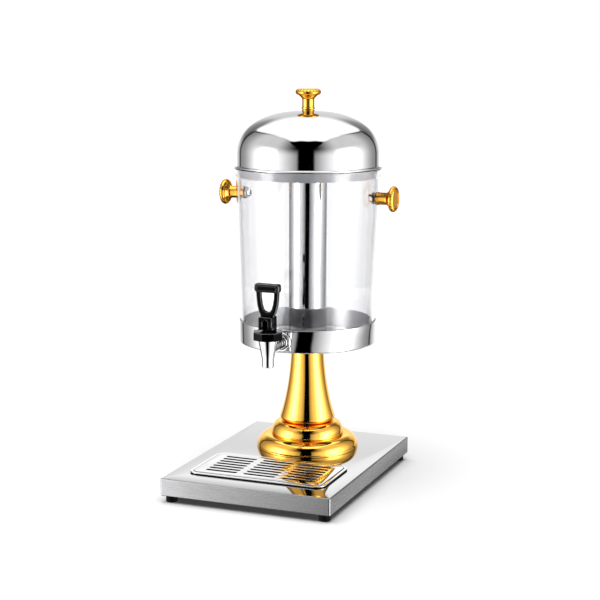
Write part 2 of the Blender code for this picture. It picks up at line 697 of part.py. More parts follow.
def ice_tube(stand):
    """The ice tube: open on top, closed below, screwed down on the tie rod over a rubber seal."""
    place = (0, AXIS_Y, 0)
    bore = TIE_ROD_RADIUS + RUNNING
    seal_low = TANK_FLOOR_Z + CLEARANCE
    seal = ring_profile(bore, TUBE_SEAL_RADIUS, seal_low, seal_low + TUBE_SEAL_THICKNESS)
    add("ice_tube_seal", spun(seal, MIDDLE), "black rubber", stand, place)

    top = TUBE_Z + TUBE_HEIGHT
    inside = TUBE_RADIUS - TUBE_SHEET
    blind = TUBE_BOSS_Z - TUBE_BOSS_CROWN
    profile = [
        (0, blind), (bore, blind), (bore, TUBE_Z), (TUBE_RADIUS - 2 * TUBE_SHEET, TUBE_Z),
        (TUBE_RADIUS, TUBE_Z + 2 * TUBE_SHEET), (TUBE_RADIUS, top - 2 * TUBE_RIM),
        (TUBE_RADIUS + TUBE_RIM / 2, top - TUBE_RIM), (TUBE_RADIUS, top), (inside, top),
        (inside, TUBE_FLOOR_Z + TUBE_SHEET), (inside - TUBE_SHEET, TUBE_FLOOR_Z),
        (TUBE_BOSS_RADIUS, TUBE_FLOOR_Z), (TUBE_BOSS_RADIUS, TUBE_BOSS_Z), (0, TUBE_BOSS_Z),
    ]
    add("ice_tube", spun(profile, MIDDLE), "polished steel", stand, place)


def lid(lid_group):
    """The lid's dome, the skirt that finds the tank's mouth, and the knob with its washer and nut."""
    stud_hole = KNOB_STUD_RADIUS + RUNNING
    inside = LID_RADIUS - LID_SHEET
    power = 2 / LID_DOME_POWER

    def dome(radius, rise, steps):
        """From the wall's top to the stud's hole, along a quarter of a superellipse."""
        last = math.acos((stud_hole / radius) ** (1 / power))
        angles = np.linspace(0, last, steps + 1)
        return [(radius * math.cos(a) ** power, DOME_Z + rise * math.sin(a) ** power) for a in angles]

    roll = (LID_EDGE_RADIUS - LID_ROLL, LID_Z + LID_ROLL)
    profile = [(inside, LID_Z)] + arc(roll, (LID_ROLL, LID_ROLL), -90, 90, 4)
    profile += [(LID_RADIUS + LID_SHEET, LID_Z + 2 * LID_ROLL),
                (LID_RADIUS, LID_Z + 2 * LID_ROLL + LID_SHEET)]
    profile += dome(LID_RADIUS, LID_DOME_RISE, 9)
    ceiling = dome(inside, LID_DOME_RISE - LID_SHEET, 6)[::-1]
    profile += ceiling
    add("lid_dome", spun(profile, WIDE), "polished steel", lid_group)

    skirt_low = LID_Z - LID_SKIRT_DROP
    skirt_outer = tank_radius(skirt_low) - TANK_WALL - LID_SKIRT_PLAY
    web_top = LID_Z + LID_SKIRT_RISE + LID_SKIRT_SHEET
    skirt = [
        (skirt_outer - LID_SKIRT_SHEET, skirt_low), (skirt_outer, skirt_low),
        (skirt_outer, web_top - LID_SKIRT_SHEET), (inside - CLEARANCE, web_top - LID_SKIRT_SHEET),
        (inside - CLEARANCE, web_top), (skirt_outer - LID_SKIRT_SHEET, web_top),
    ]
    add("lid_skirt", spun(skirt, WIDE), "brushed steel", lid_group)

    washer_edge = KNOB_WASHER_RADIUS / math.cos(math.pi / WIDE)
    washer_top = np.interp(washer_edge, *zip(*ceiling)) - CLEARANCE
    stud = KNOB_WASHER_THICKNESS + KNOB_NUT_HEIGHT + KNOB_STUD_SPARE + LID_TOP_Z - washer_top
    add("lid_knob", knob(stud), "gold plate", lid_group, (0, 0, LID_TOP_Z + CLEARANCE))
    washer_low = washer_top - KNOB_WASHER_THICKNESS
    washer = ring_profile(stud_hole, KNOB_WASHER_RADIUS, washer_low, washer_top)
    add("lid_knob_washer", spun(washer, SMALL), "zinc steel", lid_group)
    nut_top = washer_low - CLEARANCE
    add("lid_knob_nut", nut(KNOB_NUT_ACROSS, stud_hole, nut_top - KNOB_NUT_HEIGHT, nut_top),
        "zinc steel", lid_group)


def knob(stud):
    """A bmesh of the turned knob with its fluted head, standing on Z, with a stud of this length below."""
    head_low = KNOB_LENGTH - KNOB_HEAD_DEPTH
    rim = KNOB_HEAD_DEPTH / 2
    reach = head_low - KNOB_NECK_LENGTH
    flare = bezier((KNOB_NECK_RADIUS, KNOB_NECK_LENGTH),
                   (KNOB_NECK_RADIUS, KNOB_NECK_LENGTH + 0.45 * reach),
                   (KNOB_NECK_RADIUS + 0.4 * rim, KNOB_NECK_LENGTH + 0.85 * reach),
                   (KNOB_HEAD_RADIUS - 1.3 * rim, head_low), 3)
    face = KNOB_LENGTH - KNOB_FACE_SINK
    profile = [(0, -stud), (KNOB_STUD_RADIUS, -stud), (KNOB_STUD_RADIUS, 0),
               (KNOB_FOOT_RADIUS, 0), (KNOB_NECK_RADIUS, 0.22 * KNOB_NECK_LENGTH)]
    profile += flare
    profile += arc((KNOB_HEAD_RADIUS - rim, head_low + rim), (rim, rim), -60, 90, 4)
    profile += [(KNOB_FACE_RADIUS, KNOB_LENGTH), (KNOB_FACE_RADIUS - KNOB_FACE_SINK, face), (0, face)]
    bm = spun(profile, 2 * KNOB_FLUTES)
    for vert in bm.verts:
        radius = math.hypot(vert.co.x, vert.co.y)
        if vert.co.z > head_low + 0.8 * rim and radius > KNOB_FACE_RADIUS + KNOB_FACE_SINK:
            wave = 0.5 - 0.5 * math.cos(KNOB_FLUTES * math.atan2(vert.co.y, vert.co.x))
            vert.co.xy *= 1 - wave * KNOB_FLUTE_DEPTH / radius
    return bm


def side_knobs(stand):
    """A knob on each side of the tank, with its stud through the wall, a rubber washer outside, and a
    washer and a nut inside."""
    stud_hole = KNOB_STUD_RADIUS + RUNNING
    high_wall = tank_radius(SIDE_KNOB_Z + KNOB_WASHER_RADIUS)
    low_wall = tank_radius(SIDE_KNOB_Z - KNOB_WASHER_RADIUS) - TANK_WALL
    outside = high_wall + CLEARANCE
    inside = math.sqrt(low_wall**2 - KNOB_WASHER_RADIUS**2) - CLEARANCE
    seat = outside + KNOB_SEAL_THICKNESS + CLEARANCE
    stud = seat - inside + KNOB_WASHER_THICKNESS + KNOB_NUT_HEIGHT + KNOB_STUD_SPARE
    for side, sign in (("left", -1), ("right", 1)):
        place = (0, AXIS_Y, SIDE_KNOB_Z)
        turn = (0, sign * math.pi / 2, 0)
        bm = knob(stud)
        bm.transform(Matrix.Translation((0, 0, seat)))
        add(f"side_knob_{side}", bm, "gold plate", stand, place, turn)
        seal = ring_profile(stud_hole, KNOB_WASHER_RADIUS, outside, outside + KNOB_SEAL_THICKNESS)
        add(f"side_knob_seal_{side}", spun(seal, SMALL), "black rubber", stand, place, turn)
        washer = ring_profile(stud_hole, KNOB_WASHER_RADIUS, inside - KNOB_WASHER_THICKNESS, inside)
        add(f"side_knob_washer_{side}", spun(washer, SMALL), "polished steel", stand, place, turn)
        nut_top = inside - KNOB_WASHER_THICKNESS - CLEARANCE
        add(f"side_knob_nut_{side}", nut(KNOB_NUT_ACROSS, stud_hole, nut_top - KNOB_NUT_HEIGHT, nut_top),
            "polished steel", stand, place, turn)


def tap_body(tap):
    """Spout, valve chamber and shank in one casting, bored through from the tank to the spout's mouth."""
    spout_low = SHANK_Z - SPOUT_BELOW_SHANK
    thread_low = TAP_SHOULDER_Z + CLEARANCE
    outline = [
        (0, spout_low), (SPOUT_RADIUS - SPOUT_LIP, spout_low),
        (SPOUT_RADIUS - 0.3 * SPOUT_LIP, spout_low + 0.3 * SPOUT_LIP),
        (SPOUT_RADIUS, spout_low + SPOUT_LIP), (SPOUT_RADIUS, spout_low + SPOUT_STRAIGHT),
        (TAP_SHOULDER_RADIUS, TAP_SHOULDER_Z - CLEARANCE), (TAP_SHOULDER_RADIUS, thread_low),
        (TAP_THREAD_RADIUS, thread_low), (TAP_THREAD_RADIUS, TAP_THREAD_TOP_Z), (0, TAP_THREAD_TOP_Z),
    ]
    body = add("tap_body", spun(outline, MIDDLE), "chrome", tap)
    inner_end = shank_inner_end()
    shank = spun(rod_profile(SHANK_RADIUS, 0, inner_end - TAP_Y), MIDDLE)
    level = (-math.pi / 2, 0, 0)
    combine(body, add("join_shank", shank, parent=tap, location=(0, 0, SHANK_Z), rotation=level), "UNION")
    waterway = [
        (0, spout_low - SPOUT_LIP), (SPOUT_BORE_RADIUS, spout_low - SPOUT_LIP),
        (SPOUT_BORE_RADIUS, SEAT_Z - SEAT_CHAMFER), (SPOUT_BORE_RADIUS + SEAT_CHAMFER, SEAT_Z),
        (CHAMBER_RADIUS, SEAT_Z), (CHAMBER_RADIUS, TAP_THREAD_TOP_Z + SPOUT_LIP),
        (0, TAP_THREAD_TOP_Z + SPOUT_LIP),
    ]
    combine(body, add("cut_waterway", spun(waterway, MIDDLE), parent=tap))
    bore = spun(rod_profile(SHANK_BORE_RADIUS, 0, inner_end - TAP_Y + SHANK_SPARE), SMALL)
    combine(body, add("cut_shank_bore", bore, parent=tap, location=(0, 0, SHANK_Z), rotation=level))


def inner_seal_face():
    """Y of the flat face that the lock nut draws against the tap's inner seal."""
    return AXIS_Y - (tank_radius(SHANK_Z) - TANK_WALL) + TAP_INNER_SEAL_THICKNESS


def shank_inner_end():
    return inner_seal_face() + CLEARANCE + LOCK_NUT_HEIGHT + SHANK_SPARE


def tap_fixings(tap):
    """What holds the tap in the wall: escutcheon and seal outside, seal and lock nut inside."""
    bore = SHANK_RADIUS + RUNNING
    ring_face = RING_FACE_Y - TAP_Y
    outward = (math.pi / 2, 0, 0)
    lap = PAN_RADIUS - math.sqrt(PAN_RADIUS**2 - ESCUTCHEON_RADIUS**2) + PAN_SHEET
    pan_round = rod_profile(PAN_RADIUS + CLEARANCE, PAN_Z - PAN_HEIGHT, PAN_Z + 2 * PAN_HEIGHT)
    trim = add("cut_pan_round", spun(pan_round, WIDE), location=(0, AXIS_Y, 0))

    seat = TAP_SEAL_THICKNESS
    dome = arc((bore, 0), (ESCUTCHEON_RADIUS - bore, ESCUTCHEON_DEPTH), 0, 90, 5)
    profile = [(TAP_SEAL_RADIUS + CLEARANCE, -lap), (ESCUTCHEON_RADIUS, -lap)] + dome
    profile += [(bore, seat + CLEARANCE), (TAP_SEAL_RADIUS + CLEARANCE, seat + CLEARANCE)]
    place = (0, ring_face, SHANK_Z)
    escutcheon = add("tap_escutcheon", spun(profile, MIDDLE), "chrome", tap, place, outward)
    combine(escutcheon, trim)

    seal = add("tap_outer_seal", spun(ring_profile(bore, TAP_SEAL_RADIUS, -lap, seat), MIDDLE),
               "black rubber", tap, place, outward)
    combine(seal, trim)

    face = inner_seal_face() - TAP_Y
    inner = add("tap_inner_seal",
                spun(ring_profile(bore, TAP_INNER_SEAL_RADIUS, 0, 2 * TAP_INNER_SEAL_THICKNESS), MIDDLE),
                "white silicone", tap, (0, face, SHANK_Z), outward)
    low, high = SHANK_Z - 2 * TAP_SEAL_RADIUS, SHANK_Z + 2 * TAP_SEAL_RADIUS
    inside = TANK_WALL + CLEARANCE
    tank_bore = [(0, low), (tank_radius(low) - inside, low), (tank_radius(high) - inside, high), (0, high)]
    combine(inner, add("keep_tank_bore", spun(tank_bore, WIDE), location=(0, AXIS_Y, 0)), "INTERSECT")

    add("tap_lock_nut", nut(LOCK_NUT_ACROSS, bore, CLEARANCE, CLEARANCE + LOCK_NUT_HEIGHT, count=MIDDLE),
        "zinc steel", tap, (0, face, SHANK_Z), (-math.pi / 2, 0, 0))


def tap_bonnet(tap):
    """The eight-sided cap that screws down on the tap's body and guides the stem, a corner to the front."""
    count = 4 * BONNET_SIDES
    turn = -math.pi / 2
    guide = STEM_RADIUS + RUNNING
    gland = STEM_SEAL_RADIUS + CLEARANCE
    gland_top = BONNET_CEILING_Z + CLEARANCE
    thread = TAP_THREAD_RADIUS + CLEARANCE
    narrow = BONNET_ACROSS - 2 * BONNET_CHAMFER
    rings = [
        circle_ring(thread, TAP_SHOULDER_Z, count, turn),
        polygon_ring(BONNET_SIDES, BONNET_ACROSS, TAP_SHOULDER_Z, count, turn),
        polygon_ring(BONNET_SIDES, BONNET_ACROSS, BONNET_TOP_Z - BONNET_CHAMFER, count, turn),
        polygon_ring(BONNET_SIDES, narrow, BONNET_TOP_Z, count, turn),
        circle_ring(guide, BONNET_TOP_Z, count, turn),
        circle_ring(guide, gland_top, count, turn),
        circle_ring(gland, gland_top, count, turn),
        circle_ring(gland, BONNET_CEILING_Z, count, turn),
        circle_ring(thread, BONNET_CEILING_Z, count, turn),
    ]
    add("tap_bonnet", lofted(rings, capped=False), "black nylon", tap)
    seal_top = gland_top - CLEARANCE
    seal = ring_profile(guide, STEM_SEAL_RADIUS, seal_top - STEM_SEAL_THICKNESS, seal_top)
    add("tap_stem_seal", spun(seal, SMALL), "black rubber", tap)


def tap_stem(stem):
    """Stem with its cross hole, the pin in it, and the seat cup on its tip. Heights are from the pin."""
    shoulder = CUP_TOP_Z + CLEARANCE - PIN_Z
    tip = shoulder - STEM_TIP_LENGTH
    profile = [
        (0, tip), (STEM_TIP_RADIUS, tip), (STEM_TIP_RADIUS, shoulder), (STEM_RADIUS, shoulder),
        (STEM_RADIUS, STEM_HEAD - 0.4 * STEM_RADIUS), (0.6 * STEM_RADIUS, STEM_HEAD), (0, STEM_HEAD),
    ]
    rod = add("tap_stem", spun(profile, SMALL), "black nylon", stem)
    across = (0, math.pi / 2, 0)
    hole = spun(rod_profile(PIN_RADIUS + RUNNING, -2 * STEM_RADIUS, 2 * STEM_RADIUS), SMALL)
    combine(rod, add("cut_stem_hole", hole, parent=stem, rotation=across))

    half = YOKE_WIDTH / 2 - PIN_RADIUS
    pin = spun(rod_profile(PIN_RADIUS, -half, half), SMALL)
    add("tap_pin", pin, "polished steel", stem, rotation=across)

    socket = STEM_TIP_RADIUS + CLEARANCE
    top = CUP_TOP_Z - PIN_Z
    low = top - CUP_HEIGHT
    cup = [
        (0, low), (0.5 * CUP_RADIUS, low), (CUP_RADIUS - 0.1 * CUP_HEIGHT, low + 0.1 * CUP_HEIGHT),
        (CUP_RADIUS, low + 0.3 * CUP_HEIGHT), (CUP_RADIUS, top), (socket, top),
        (socket, tip - CLEARANCE), (0, tip - CLEARANCE),
    ]
    add("tap_seat_cup", spun(cup, SMALL), "white silicone", stem)


def tap_spring(tap):
    """The return spring round the stem: a coil with closed end turns, between the cup and the stem seal."""
    low = CUP_TOP_Z + CLEARANCE + SPRING_WIRE / 2
    seal_low = BONNET_CEILING_Z - STEM_SEAL_THICKNESS
    high = seal_low - CLEARANCE - SPRING_WIRE / 2
    end_pitch = SPRING_WIRE + 2 * CLEARANCE
    turns = SPRING_ACTIVE_TURNS + 2
    pitch = (high - low - 2 * end_pitch) / SPRING_ACTIVE_TURNS
    steps = turns * SPRING_POINTS_PER_TURN
    turned = np.linspace(0, turns, steps + 1)
    angle = 2 * math.pi * turned
    active = np.clip(turned - 1, 0, SPRING_ACTIVE_TURNS)
    climb = low + end_pitch * (np.minimum(turned, 1) + np.clip(turned - turns + 1, 0, 1)) + pitch * active
    points = np.stack([SPRING_RADIUS * np.cos(angle), SPRING_RADIUS * np.sin(angle), climb], axis=1)

    apart = np.linalg.norm(points[:, None] - points[None], axis=2)
    along = np.abs(np.arange(len(points))[:, None] - np.arange(len(points))[None])
    least = apart[along > SPRING_POINTS_PER_TURN / 2].min() - SPRING_WIRE
    print(f"spring: least gap between turns {1000 * least:.2f} mm")

    curve = bpy.data.curves.new("tap_spring", "CURVE")
    curve.dimensions = "3D"
    curve.bevel_depth = SPRING_WIRE / 2
    curve.bevel_resolution = 1
    curve.use_fill_caps = True
    spline = curve.splines.new("POLY")
    spline.points.add(len(points) - 1)
    for target, point in zip(spline.points, points):
        target.co = (*point, 1.0)
    curve.materials.append(material_for("tap_spring", "zinc steel"))
    coil = bpy.data.objects.new("tap_spring", curve)
    bpy.context.scene.collection.objects.link(coil)
    coil.parent = tap


def yoke_outline():
    """Side view of the yoke, as (y, z) from the pin. Its foot is flat at rest. In front of the flat it
    follows the involute of a circle of CAM_RADIUS, so tilting the handle lifts the pin by that radius
    for each radian, with the foot always resting on the bonnet."""
    rest = PIN_ABOVE_BONNET - CLEARANCE
    points = [(YOKE_BACK, -rest)]
    for angle in np.radians(np.linspace(0, CAM_SWEEP_DEGREES, 9)):
        reach = rest + CAM_RADIUS * angle
        points.append((-reach * math.sin(angle) - CAM_RADIUS * math.cos(angle),
                       -reach * math.cos(angle) + CAM_RADIUS * math.sin(angle)))
    front = points[-1][0]
    points += [(front, YOKE_RISE), (YOKE_BACK, YOKE_RISE)]
    return points


def loop_outline():
    """Front view of the finger loop, as (x, z) from the pin: it widens from the yoke to the grip bar."""
    low = 0.5 * YOKE_RISE
    high = EYE_ABOVE_PIN + EYE_HEIGHT + BAR_HEIGHT / 2
    tall = high - low
    foot = LOOP_FOOT_WIDTH / 2
    top = LOOP_TOP_WIDTH / 2
    side = bezier((foot, low), (foot + 0.28 * (top - foot), low + 0.19 * tall),
                  (top - 0.2 * (top - foot), low + 0.57 * tall), (top, high), 6)
    return side + [(-x, z) for x, z in side[::-1]]


def eye_outline():
    """Front view of the finger hole: a flat top with round corners, narrowing to a round bottom."""
    centre = EYE_ABOVE_PIN + EYE_BOTTOM_RADIUS
    top = EYE_ABOVE_PIN + EYE_HEIGHT
    half = EYE_TOP_WIDTH / 2
    low = arc((0, centre), (EYE_BOTTOM_RADIUS, EYE_BOTTOM_RADIUS), 200, 340, 6)
    right = arc((half - EYE_CORNER, top - EYE_CORNER), (EYE_CORNER, EYE_CORNER), 0, 90, 3)
    left = [(-x, z) for x, z in right[::-1]]
    swell = 0.5 * (top + centre)
    side = (0.93 * half, swell)
    return low + [side] + right + left + [(-side[0], swell)]


def tap_handle(handle):
    """Yoke, finger loop and grip bar, moulded in one. The stem swings out through the yoke's front slot
    as the handle tilts. Heights are from the pin, which is the hinge."""
    stand_up = (math.pi / 2, 0, 0)
    bm = prism(yoke_outline(), YOKE_WIDTH)
    bm.transform(Matrix.Rotation(math.pi / 2, 4, "Y") @ Matrix.Rotation(math.pi / 2, 4, "Z"))
    rest = PIN_ABOVE_BONNET - CLEARANCE
    sides = [edge for edge in bm.edges
             if abs(edge.verts[0].co.x - edge.verts[1].co.x) < YOKE_WIDTH / 2
             and min(vert.co.z for vert in edge.verts) > -0.6 * rest]
    bevel_edges(bm, YOKE_ROUND, 2, keep=lambda edge: edge in sides)
    yoke = add("tap_handle", bm, "black nylon", handle)

    bm = prism(loop_outline(), LOOP_DEPTH)
    bevel_edges(bm, LOOP_EDGE, 2, keep=lambda edge: edge.verts[0].co.z == edge.verts[1].co.z)
    combine(yoke, add("join_loop", bm, parent=handle, rotation=stand_up), "UNION")

    bar_z = EYE_ABOVE_PIN + EYE_HEIGHT + BAR_HEIGHT / 2
    half_depth, half_height, flat = BAR_DEPTH / 2, BAR_HEIGHT / 2, BAR_FLAT / 2
    section = [(half_depth, -flat), (half_depth, flat), (flat, half_height), (-flat, half_height),
               (-half_depth, flat), (-half_depth, -flat), (-flat, -half_height), (flat, -half_height)]
    ends = [(-BAR_WIDTH / 2, 0.6), (BAR_END - BAR_WIDTH / 2, 1), (BAR_WIDTH / 2 - BAR_END, 1),
            (BAR_WIDTH / 2, 0.6)]
    rings = [[Vector((x, y * scale, z * scale)) for y, z in section] for x, scale in ends]
    bar = add("join_bar", lofted(rings, capped=True), parent=handle, location=(0, 0, bar_z))
    combine(yoke, bar, "UNION")

    combine(yoke, add("cut_eye", prism(eye_outline(), 3 * BAR_DEPTH), parent=handle, rotation=stand_up))
    slot = STEM_RADIUS + YOKE_SLOT_PLAY
    low = -2 * rest
    arch = [(-slot, low), (slot, low)] + arc((0, YOKE_SLOT_HEIGHT - slot), (slot, slot), 0, 180, 6)
    back = YOKE_SLOT_BACK
    front = -3 * YOKE_WIDTH
    bm = prism(arch, back - front)
    bm.transform(Matrix.Translation((0, (back + front) / 2, 0)) @ Matrix.Rotation(math.pi / 2, 4, "X"))
    combine(yoke, add("cut_slot", bm, parent=handle))
    hole = spun(rod_profile(PIN_RADIUS + RUNNING, -YOKE_WIDTH, YOKE_WIDTH), SMALL)
    combine(yoke, add("cut_pin_hole", hole, parent=handle, rotation=(0, math.pi / 2, 0)))


def main():
    clear_scene()
    stand = group("stand", (0, 0, 0))
    tray = group("tray", (0, TRAY_Y, BASE_TOP))
    grille = group("grille", (0, TRAY_Y, BASE_TOP))
    lid_group = group("lid", (0, AXIS_Y, 0))
    tap = group("tap", (0, TAP_Y, 0))
    stem = group("stem", (0, TAP_Y, PIN_Z))
    handle = group("handle", (0, TAP_Y, PIN_Z))
    base_shell(stand)
    base_backing_plate(stand)
    feet(stand)
    drip_tray(tray)
    drip_grille(grille)
    column(stand)
    tie_rod(stand)
    bottom_pan(stand)
    tank(stand)
    ice_tube(stand)
    side_knobs(stand)
    lid(lid_group)
    tap_body(tap)
    tap_fixings(tap)
    tap_bonnet(tap)
    tap_stem(stem)
    tap_spring(tap)
    tap_handle(handle)


main()
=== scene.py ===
import json
import math

import bmesh
import bpy
import numpy as np
from mathutils import Matrix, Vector
from mathutils.geometry import tessellate_polygon


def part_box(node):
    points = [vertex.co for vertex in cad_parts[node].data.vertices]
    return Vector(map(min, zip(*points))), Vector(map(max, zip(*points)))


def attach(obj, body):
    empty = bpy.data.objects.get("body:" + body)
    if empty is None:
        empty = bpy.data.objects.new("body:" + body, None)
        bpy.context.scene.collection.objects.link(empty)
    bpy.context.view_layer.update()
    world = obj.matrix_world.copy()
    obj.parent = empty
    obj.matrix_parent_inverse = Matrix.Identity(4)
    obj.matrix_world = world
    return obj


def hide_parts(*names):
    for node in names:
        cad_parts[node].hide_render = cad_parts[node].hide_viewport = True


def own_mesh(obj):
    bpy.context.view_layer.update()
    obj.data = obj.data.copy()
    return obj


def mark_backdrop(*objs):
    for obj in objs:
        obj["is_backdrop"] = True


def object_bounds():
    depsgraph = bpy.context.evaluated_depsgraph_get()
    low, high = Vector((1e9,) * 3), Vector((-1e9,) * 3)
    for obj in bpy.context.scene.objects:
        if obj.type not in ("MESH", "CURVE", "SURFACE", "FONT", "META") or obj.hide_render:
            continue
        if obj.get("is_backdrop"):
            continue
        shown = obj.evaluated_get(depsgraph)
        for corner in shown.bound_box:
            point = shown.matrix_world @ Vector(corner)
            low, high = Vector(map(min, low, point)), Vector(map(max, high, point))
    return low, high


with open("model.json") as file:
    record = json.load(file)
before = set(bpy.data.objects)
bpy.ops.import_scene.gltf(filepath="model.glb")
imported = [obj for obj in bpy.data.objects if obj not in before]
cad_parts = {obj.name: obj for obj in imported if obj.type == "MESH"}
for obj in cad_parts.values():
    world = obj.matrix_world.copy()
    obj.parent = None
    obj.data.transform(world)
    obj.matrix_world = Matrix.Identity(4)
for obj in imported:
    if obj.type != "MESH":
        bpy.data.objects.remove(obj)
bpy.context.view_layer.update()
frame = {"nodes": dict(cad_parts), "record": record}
mm = 0.001  # forms below are in millimetres, meshes in metres
scene = bpy.context.scene
scene.view_settings.view_transform = "Standard"
print("frame loaded:", len(frame["nodes"]), "nodes")


# Places taken from the frame, in millimetres.
def spanOf(node, axis):
    # a node's lowest and highest place along one axis
    low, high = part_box(node)
    return low[axis] / mm, high[axis] / mm


def take(form, keys):
    # a few of a form's values, by their names
    return [form[key] for key in keys.split()]


axisY = sum(spanOf("lid_dome", 1)) / 2  # column, pan, tank, tube and lid stand on one upright axis
tapY = sum(spanOf("tap_bonnet", 1)) / 2
tapZ = sum(spanOf("tap_escutcheon", 2)) / 2
trayY = sum(spanOf("drip_tray", 1)) / 2
baseY = sum(spanOf("base_shell", 1)) / 2
baseTop = spanOf("base_shell", 2)[1]
mainAxis = (0, axisY, 0)


# Points and surfaces.
def arc(centre, radii, start, end, steps=14):
    # ellipse, or a circle for one radius: centre plus radius times cosine and sine, angles in degrees
    wide, high = np.broadcast_to(radii, 2)
    turn = np.radians(np.linspace(start, end, steps + 1))
    return np.column_stack([centre[0] + wide * np.cos(turn), centre[1] + high * np.sin(turn)])


def bend(first, second, third, last, steps=40):
    # cubic curve from the first point to the last, drawn towards the two in between
    t = np.linspace(0, 1, steps + 1)[:, None]
    first, second, third, last = (np.array(p, float) for p in (first, second, third, last))
    return (1 - t) ** 3 * first + 3 * t * (1 - t) ** 2 * second + 3 * t ** 2 * (1 - t) * third + t ** 3 * last


def ramp(value, low, high):
    # rises smoothly from 0 at low to 1 at high
    t = np.clip((value - low) / (high - low), 0, 1)
    return t * t * (3 - 2 * t)


def roundedLoop(width, depth, corner, centreY=0, steps=8):
    # four quarter circles of one radius at the corners of a rectangle, as x and y
    turn = np.radians(np.linspace(0, 90, steps + 1))
    quarters = [(1, 1, 0), (-1, 1, 90), (-1, -1, 180), (1, -1, 270)]
    return np.vstack([np.column_stack([
        sx * (width / 2 - corner) + corner * np.cos(turn + math.radians(start)),
        centreY + sy * (depth / 2 - corner) + corner * np.sin(turn + math.radians(start))])
        for sx, sy, start in quarters])


def insetLoop(form, inset, centreY):
    # a form's outline, drawn in all round
    corner = max(form["corner"] - inset, form["leastCorner"])
    return roundedLoop(form["width"] - 2 * inset, form["depth"] - 2 * inset, corner, centreY, form["steps"])


def lathe(profile, centre=mainAxis, along="z", turns=144, flutes=0, fluteDepth=None):
    # each profile point (radius, height) goes round the axis: radius cos a, radius sin a, height
    profile = np.asarray(profile, float)
    turn = np.linspace(0, 2 * np.pi, turns, endpoint=False)[None, :]
    radius = profile[:, :1] + 0 * turn
    if flutes:
        radius = radius - fluteDepth[:, None] * (0.5 - 0.5 * np.cos(flutes * turn))
    across, side, up = radius * np.cos(turn), radius * np.sin(turn), profile[:, 1:] + 0 * turn
    ways = {"z": (across, side, up), "-y": (across, -up, side),
            "x": (up, across, side), "-x": (-up, across, side)}
    return gridPatch(np.stack(ways[along], -1) + np.array(centre), "loop" if profile[0, 0] > 0 else "open")


def loft(levels, ends="loop"):
    # plane outlines with the same number of points, one above the other
    return gridPatch(np.stack([np.column_stack([loop, np.full(len(loop), z)]) for loop, z in levels]), ends)


def gridPatch(points, ends):
    # quads between neighbours; columns run round, rows close on themselves or end open or in a flat cap
    rows, cols = points.shape[:2]
    i = np.arange(rows if ends == "loop" else rows - 1)[:, None]
    j = np.arange(cols)[None, :]
    below, beside = (i + 1) % rows, (j + 1) % cols
    quads = [i * cols + j, i * cols + beside, below * cols + beside, below * cols + j]
    faces = [np.stack(quads, -1).reshape(-1, 4)]
    if ends == "cap":
        faces += [np.arange(cols)[None, ::-1], np.arange((rows - 1) * cols, rows * cols)[None, :]]
    return points.reshape(-1, 3), faces


def holedSheet(outline, holes, z):
    # flat face inside an outline and outside its holes
    loops = [np.column_stack([loop, np.full(len(loop), z)]) for loop in [outline] + holes]
    return np.vstack(loops), [np.array(tessellate_polygon([loop.tolist() for loop in loops]))]


def addPiece(name, patches, finishes, body, replaced, sharp=32, pick=None):
    # one mesh from several patches; pick says which faces take the second finish
    points, faces, start = [], [], 0
    for patchPoints, patchFaces in patches:
        for group in patchFaces:
            faces += (group + start).tolist()
        points.append(patchPoints)
        start += len(patchPoints)
    mesh = bpy.data.meshes.new(name)
    mesh.from_pydata(np.vstack(points) * mm, [], faces)
    work = bmesh.new()
    work.from_mesh(mesh)
    bmesh.ops.remove_doubles(work, verts=work.verts, dist=1e-7)  # closes seams and poles
    bmesh.ops.recalc_face_normals(work, faces=work.faces)
    work.to_mesh(mesh)
    work.free()
    mesh.shade_smooth()
    mesh.set_sharp_from_angle(angle=math.radians(sharp))
    for finish in finishes:
        mesh.materials.append(finish)
    if pick:
        centres = np.empty(len(mesh.polygons) * 3)
        normals = np.empty(len(mesh.polygons) * 3)
        mesh.polygons.foreach_get("center", centres)
        mesh.polygons.foreach_get("normal", normals)
        chosen = pick(centres.reshape(-1, 3) / mm, normals.reshape(-1, 3)).astype(np.int32)
        mesh.polygons.foreach_set("material_index", chosen)
    piece = bpy.data.objects.new(name, mesh)
    scene.collection.objects.link(piece)
    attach(piece, body)
    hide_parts(*replaced)
    return piece


# Finishes.
def linear(hexText):
    # sRGB to linear light: a straight toe, then a power of 2.4
    value = np.array([int(hexText[i:i + 2], 16) for i in (1, 3, 5)]) / 255
    value = np.where(value <= 0.04045, value / 12.92, ((value + 0.055) / 1.055) ** 2.4)
    return (*value.tolist(), 1.0)


def addNode(tree, kind, settings=None, links=None):
    # settings fill sockets by name or number, or the node's own properties; links join outputs to sockets
    node = tree.nodes.new(kind)
    for key, value in (settings or {}).items():
        if isinstance(key, int) or key in node.inputs:
            node.inputs[key].default_value = value
        else:
            setattr(node, key, value)
    for key, output in (links or {}).items():
        tree.links.new(output, node.inputs[key])
    return node


def startFinish(name, settings):
    # a finish with its plain settings, and the piece's own coordinates
    finish = bpy.data.materials.new(name)
    finish.use_nodes = True
    tree = finish.node_tree
    shader = tree.nodes["Principled BSDF"]
    for key, value in settings.items():
        shader.inputs[key].default_value = value
    return finish, tree, shader, addNode(tree, "ShaderNodeTexCoord").outputs["Object"]


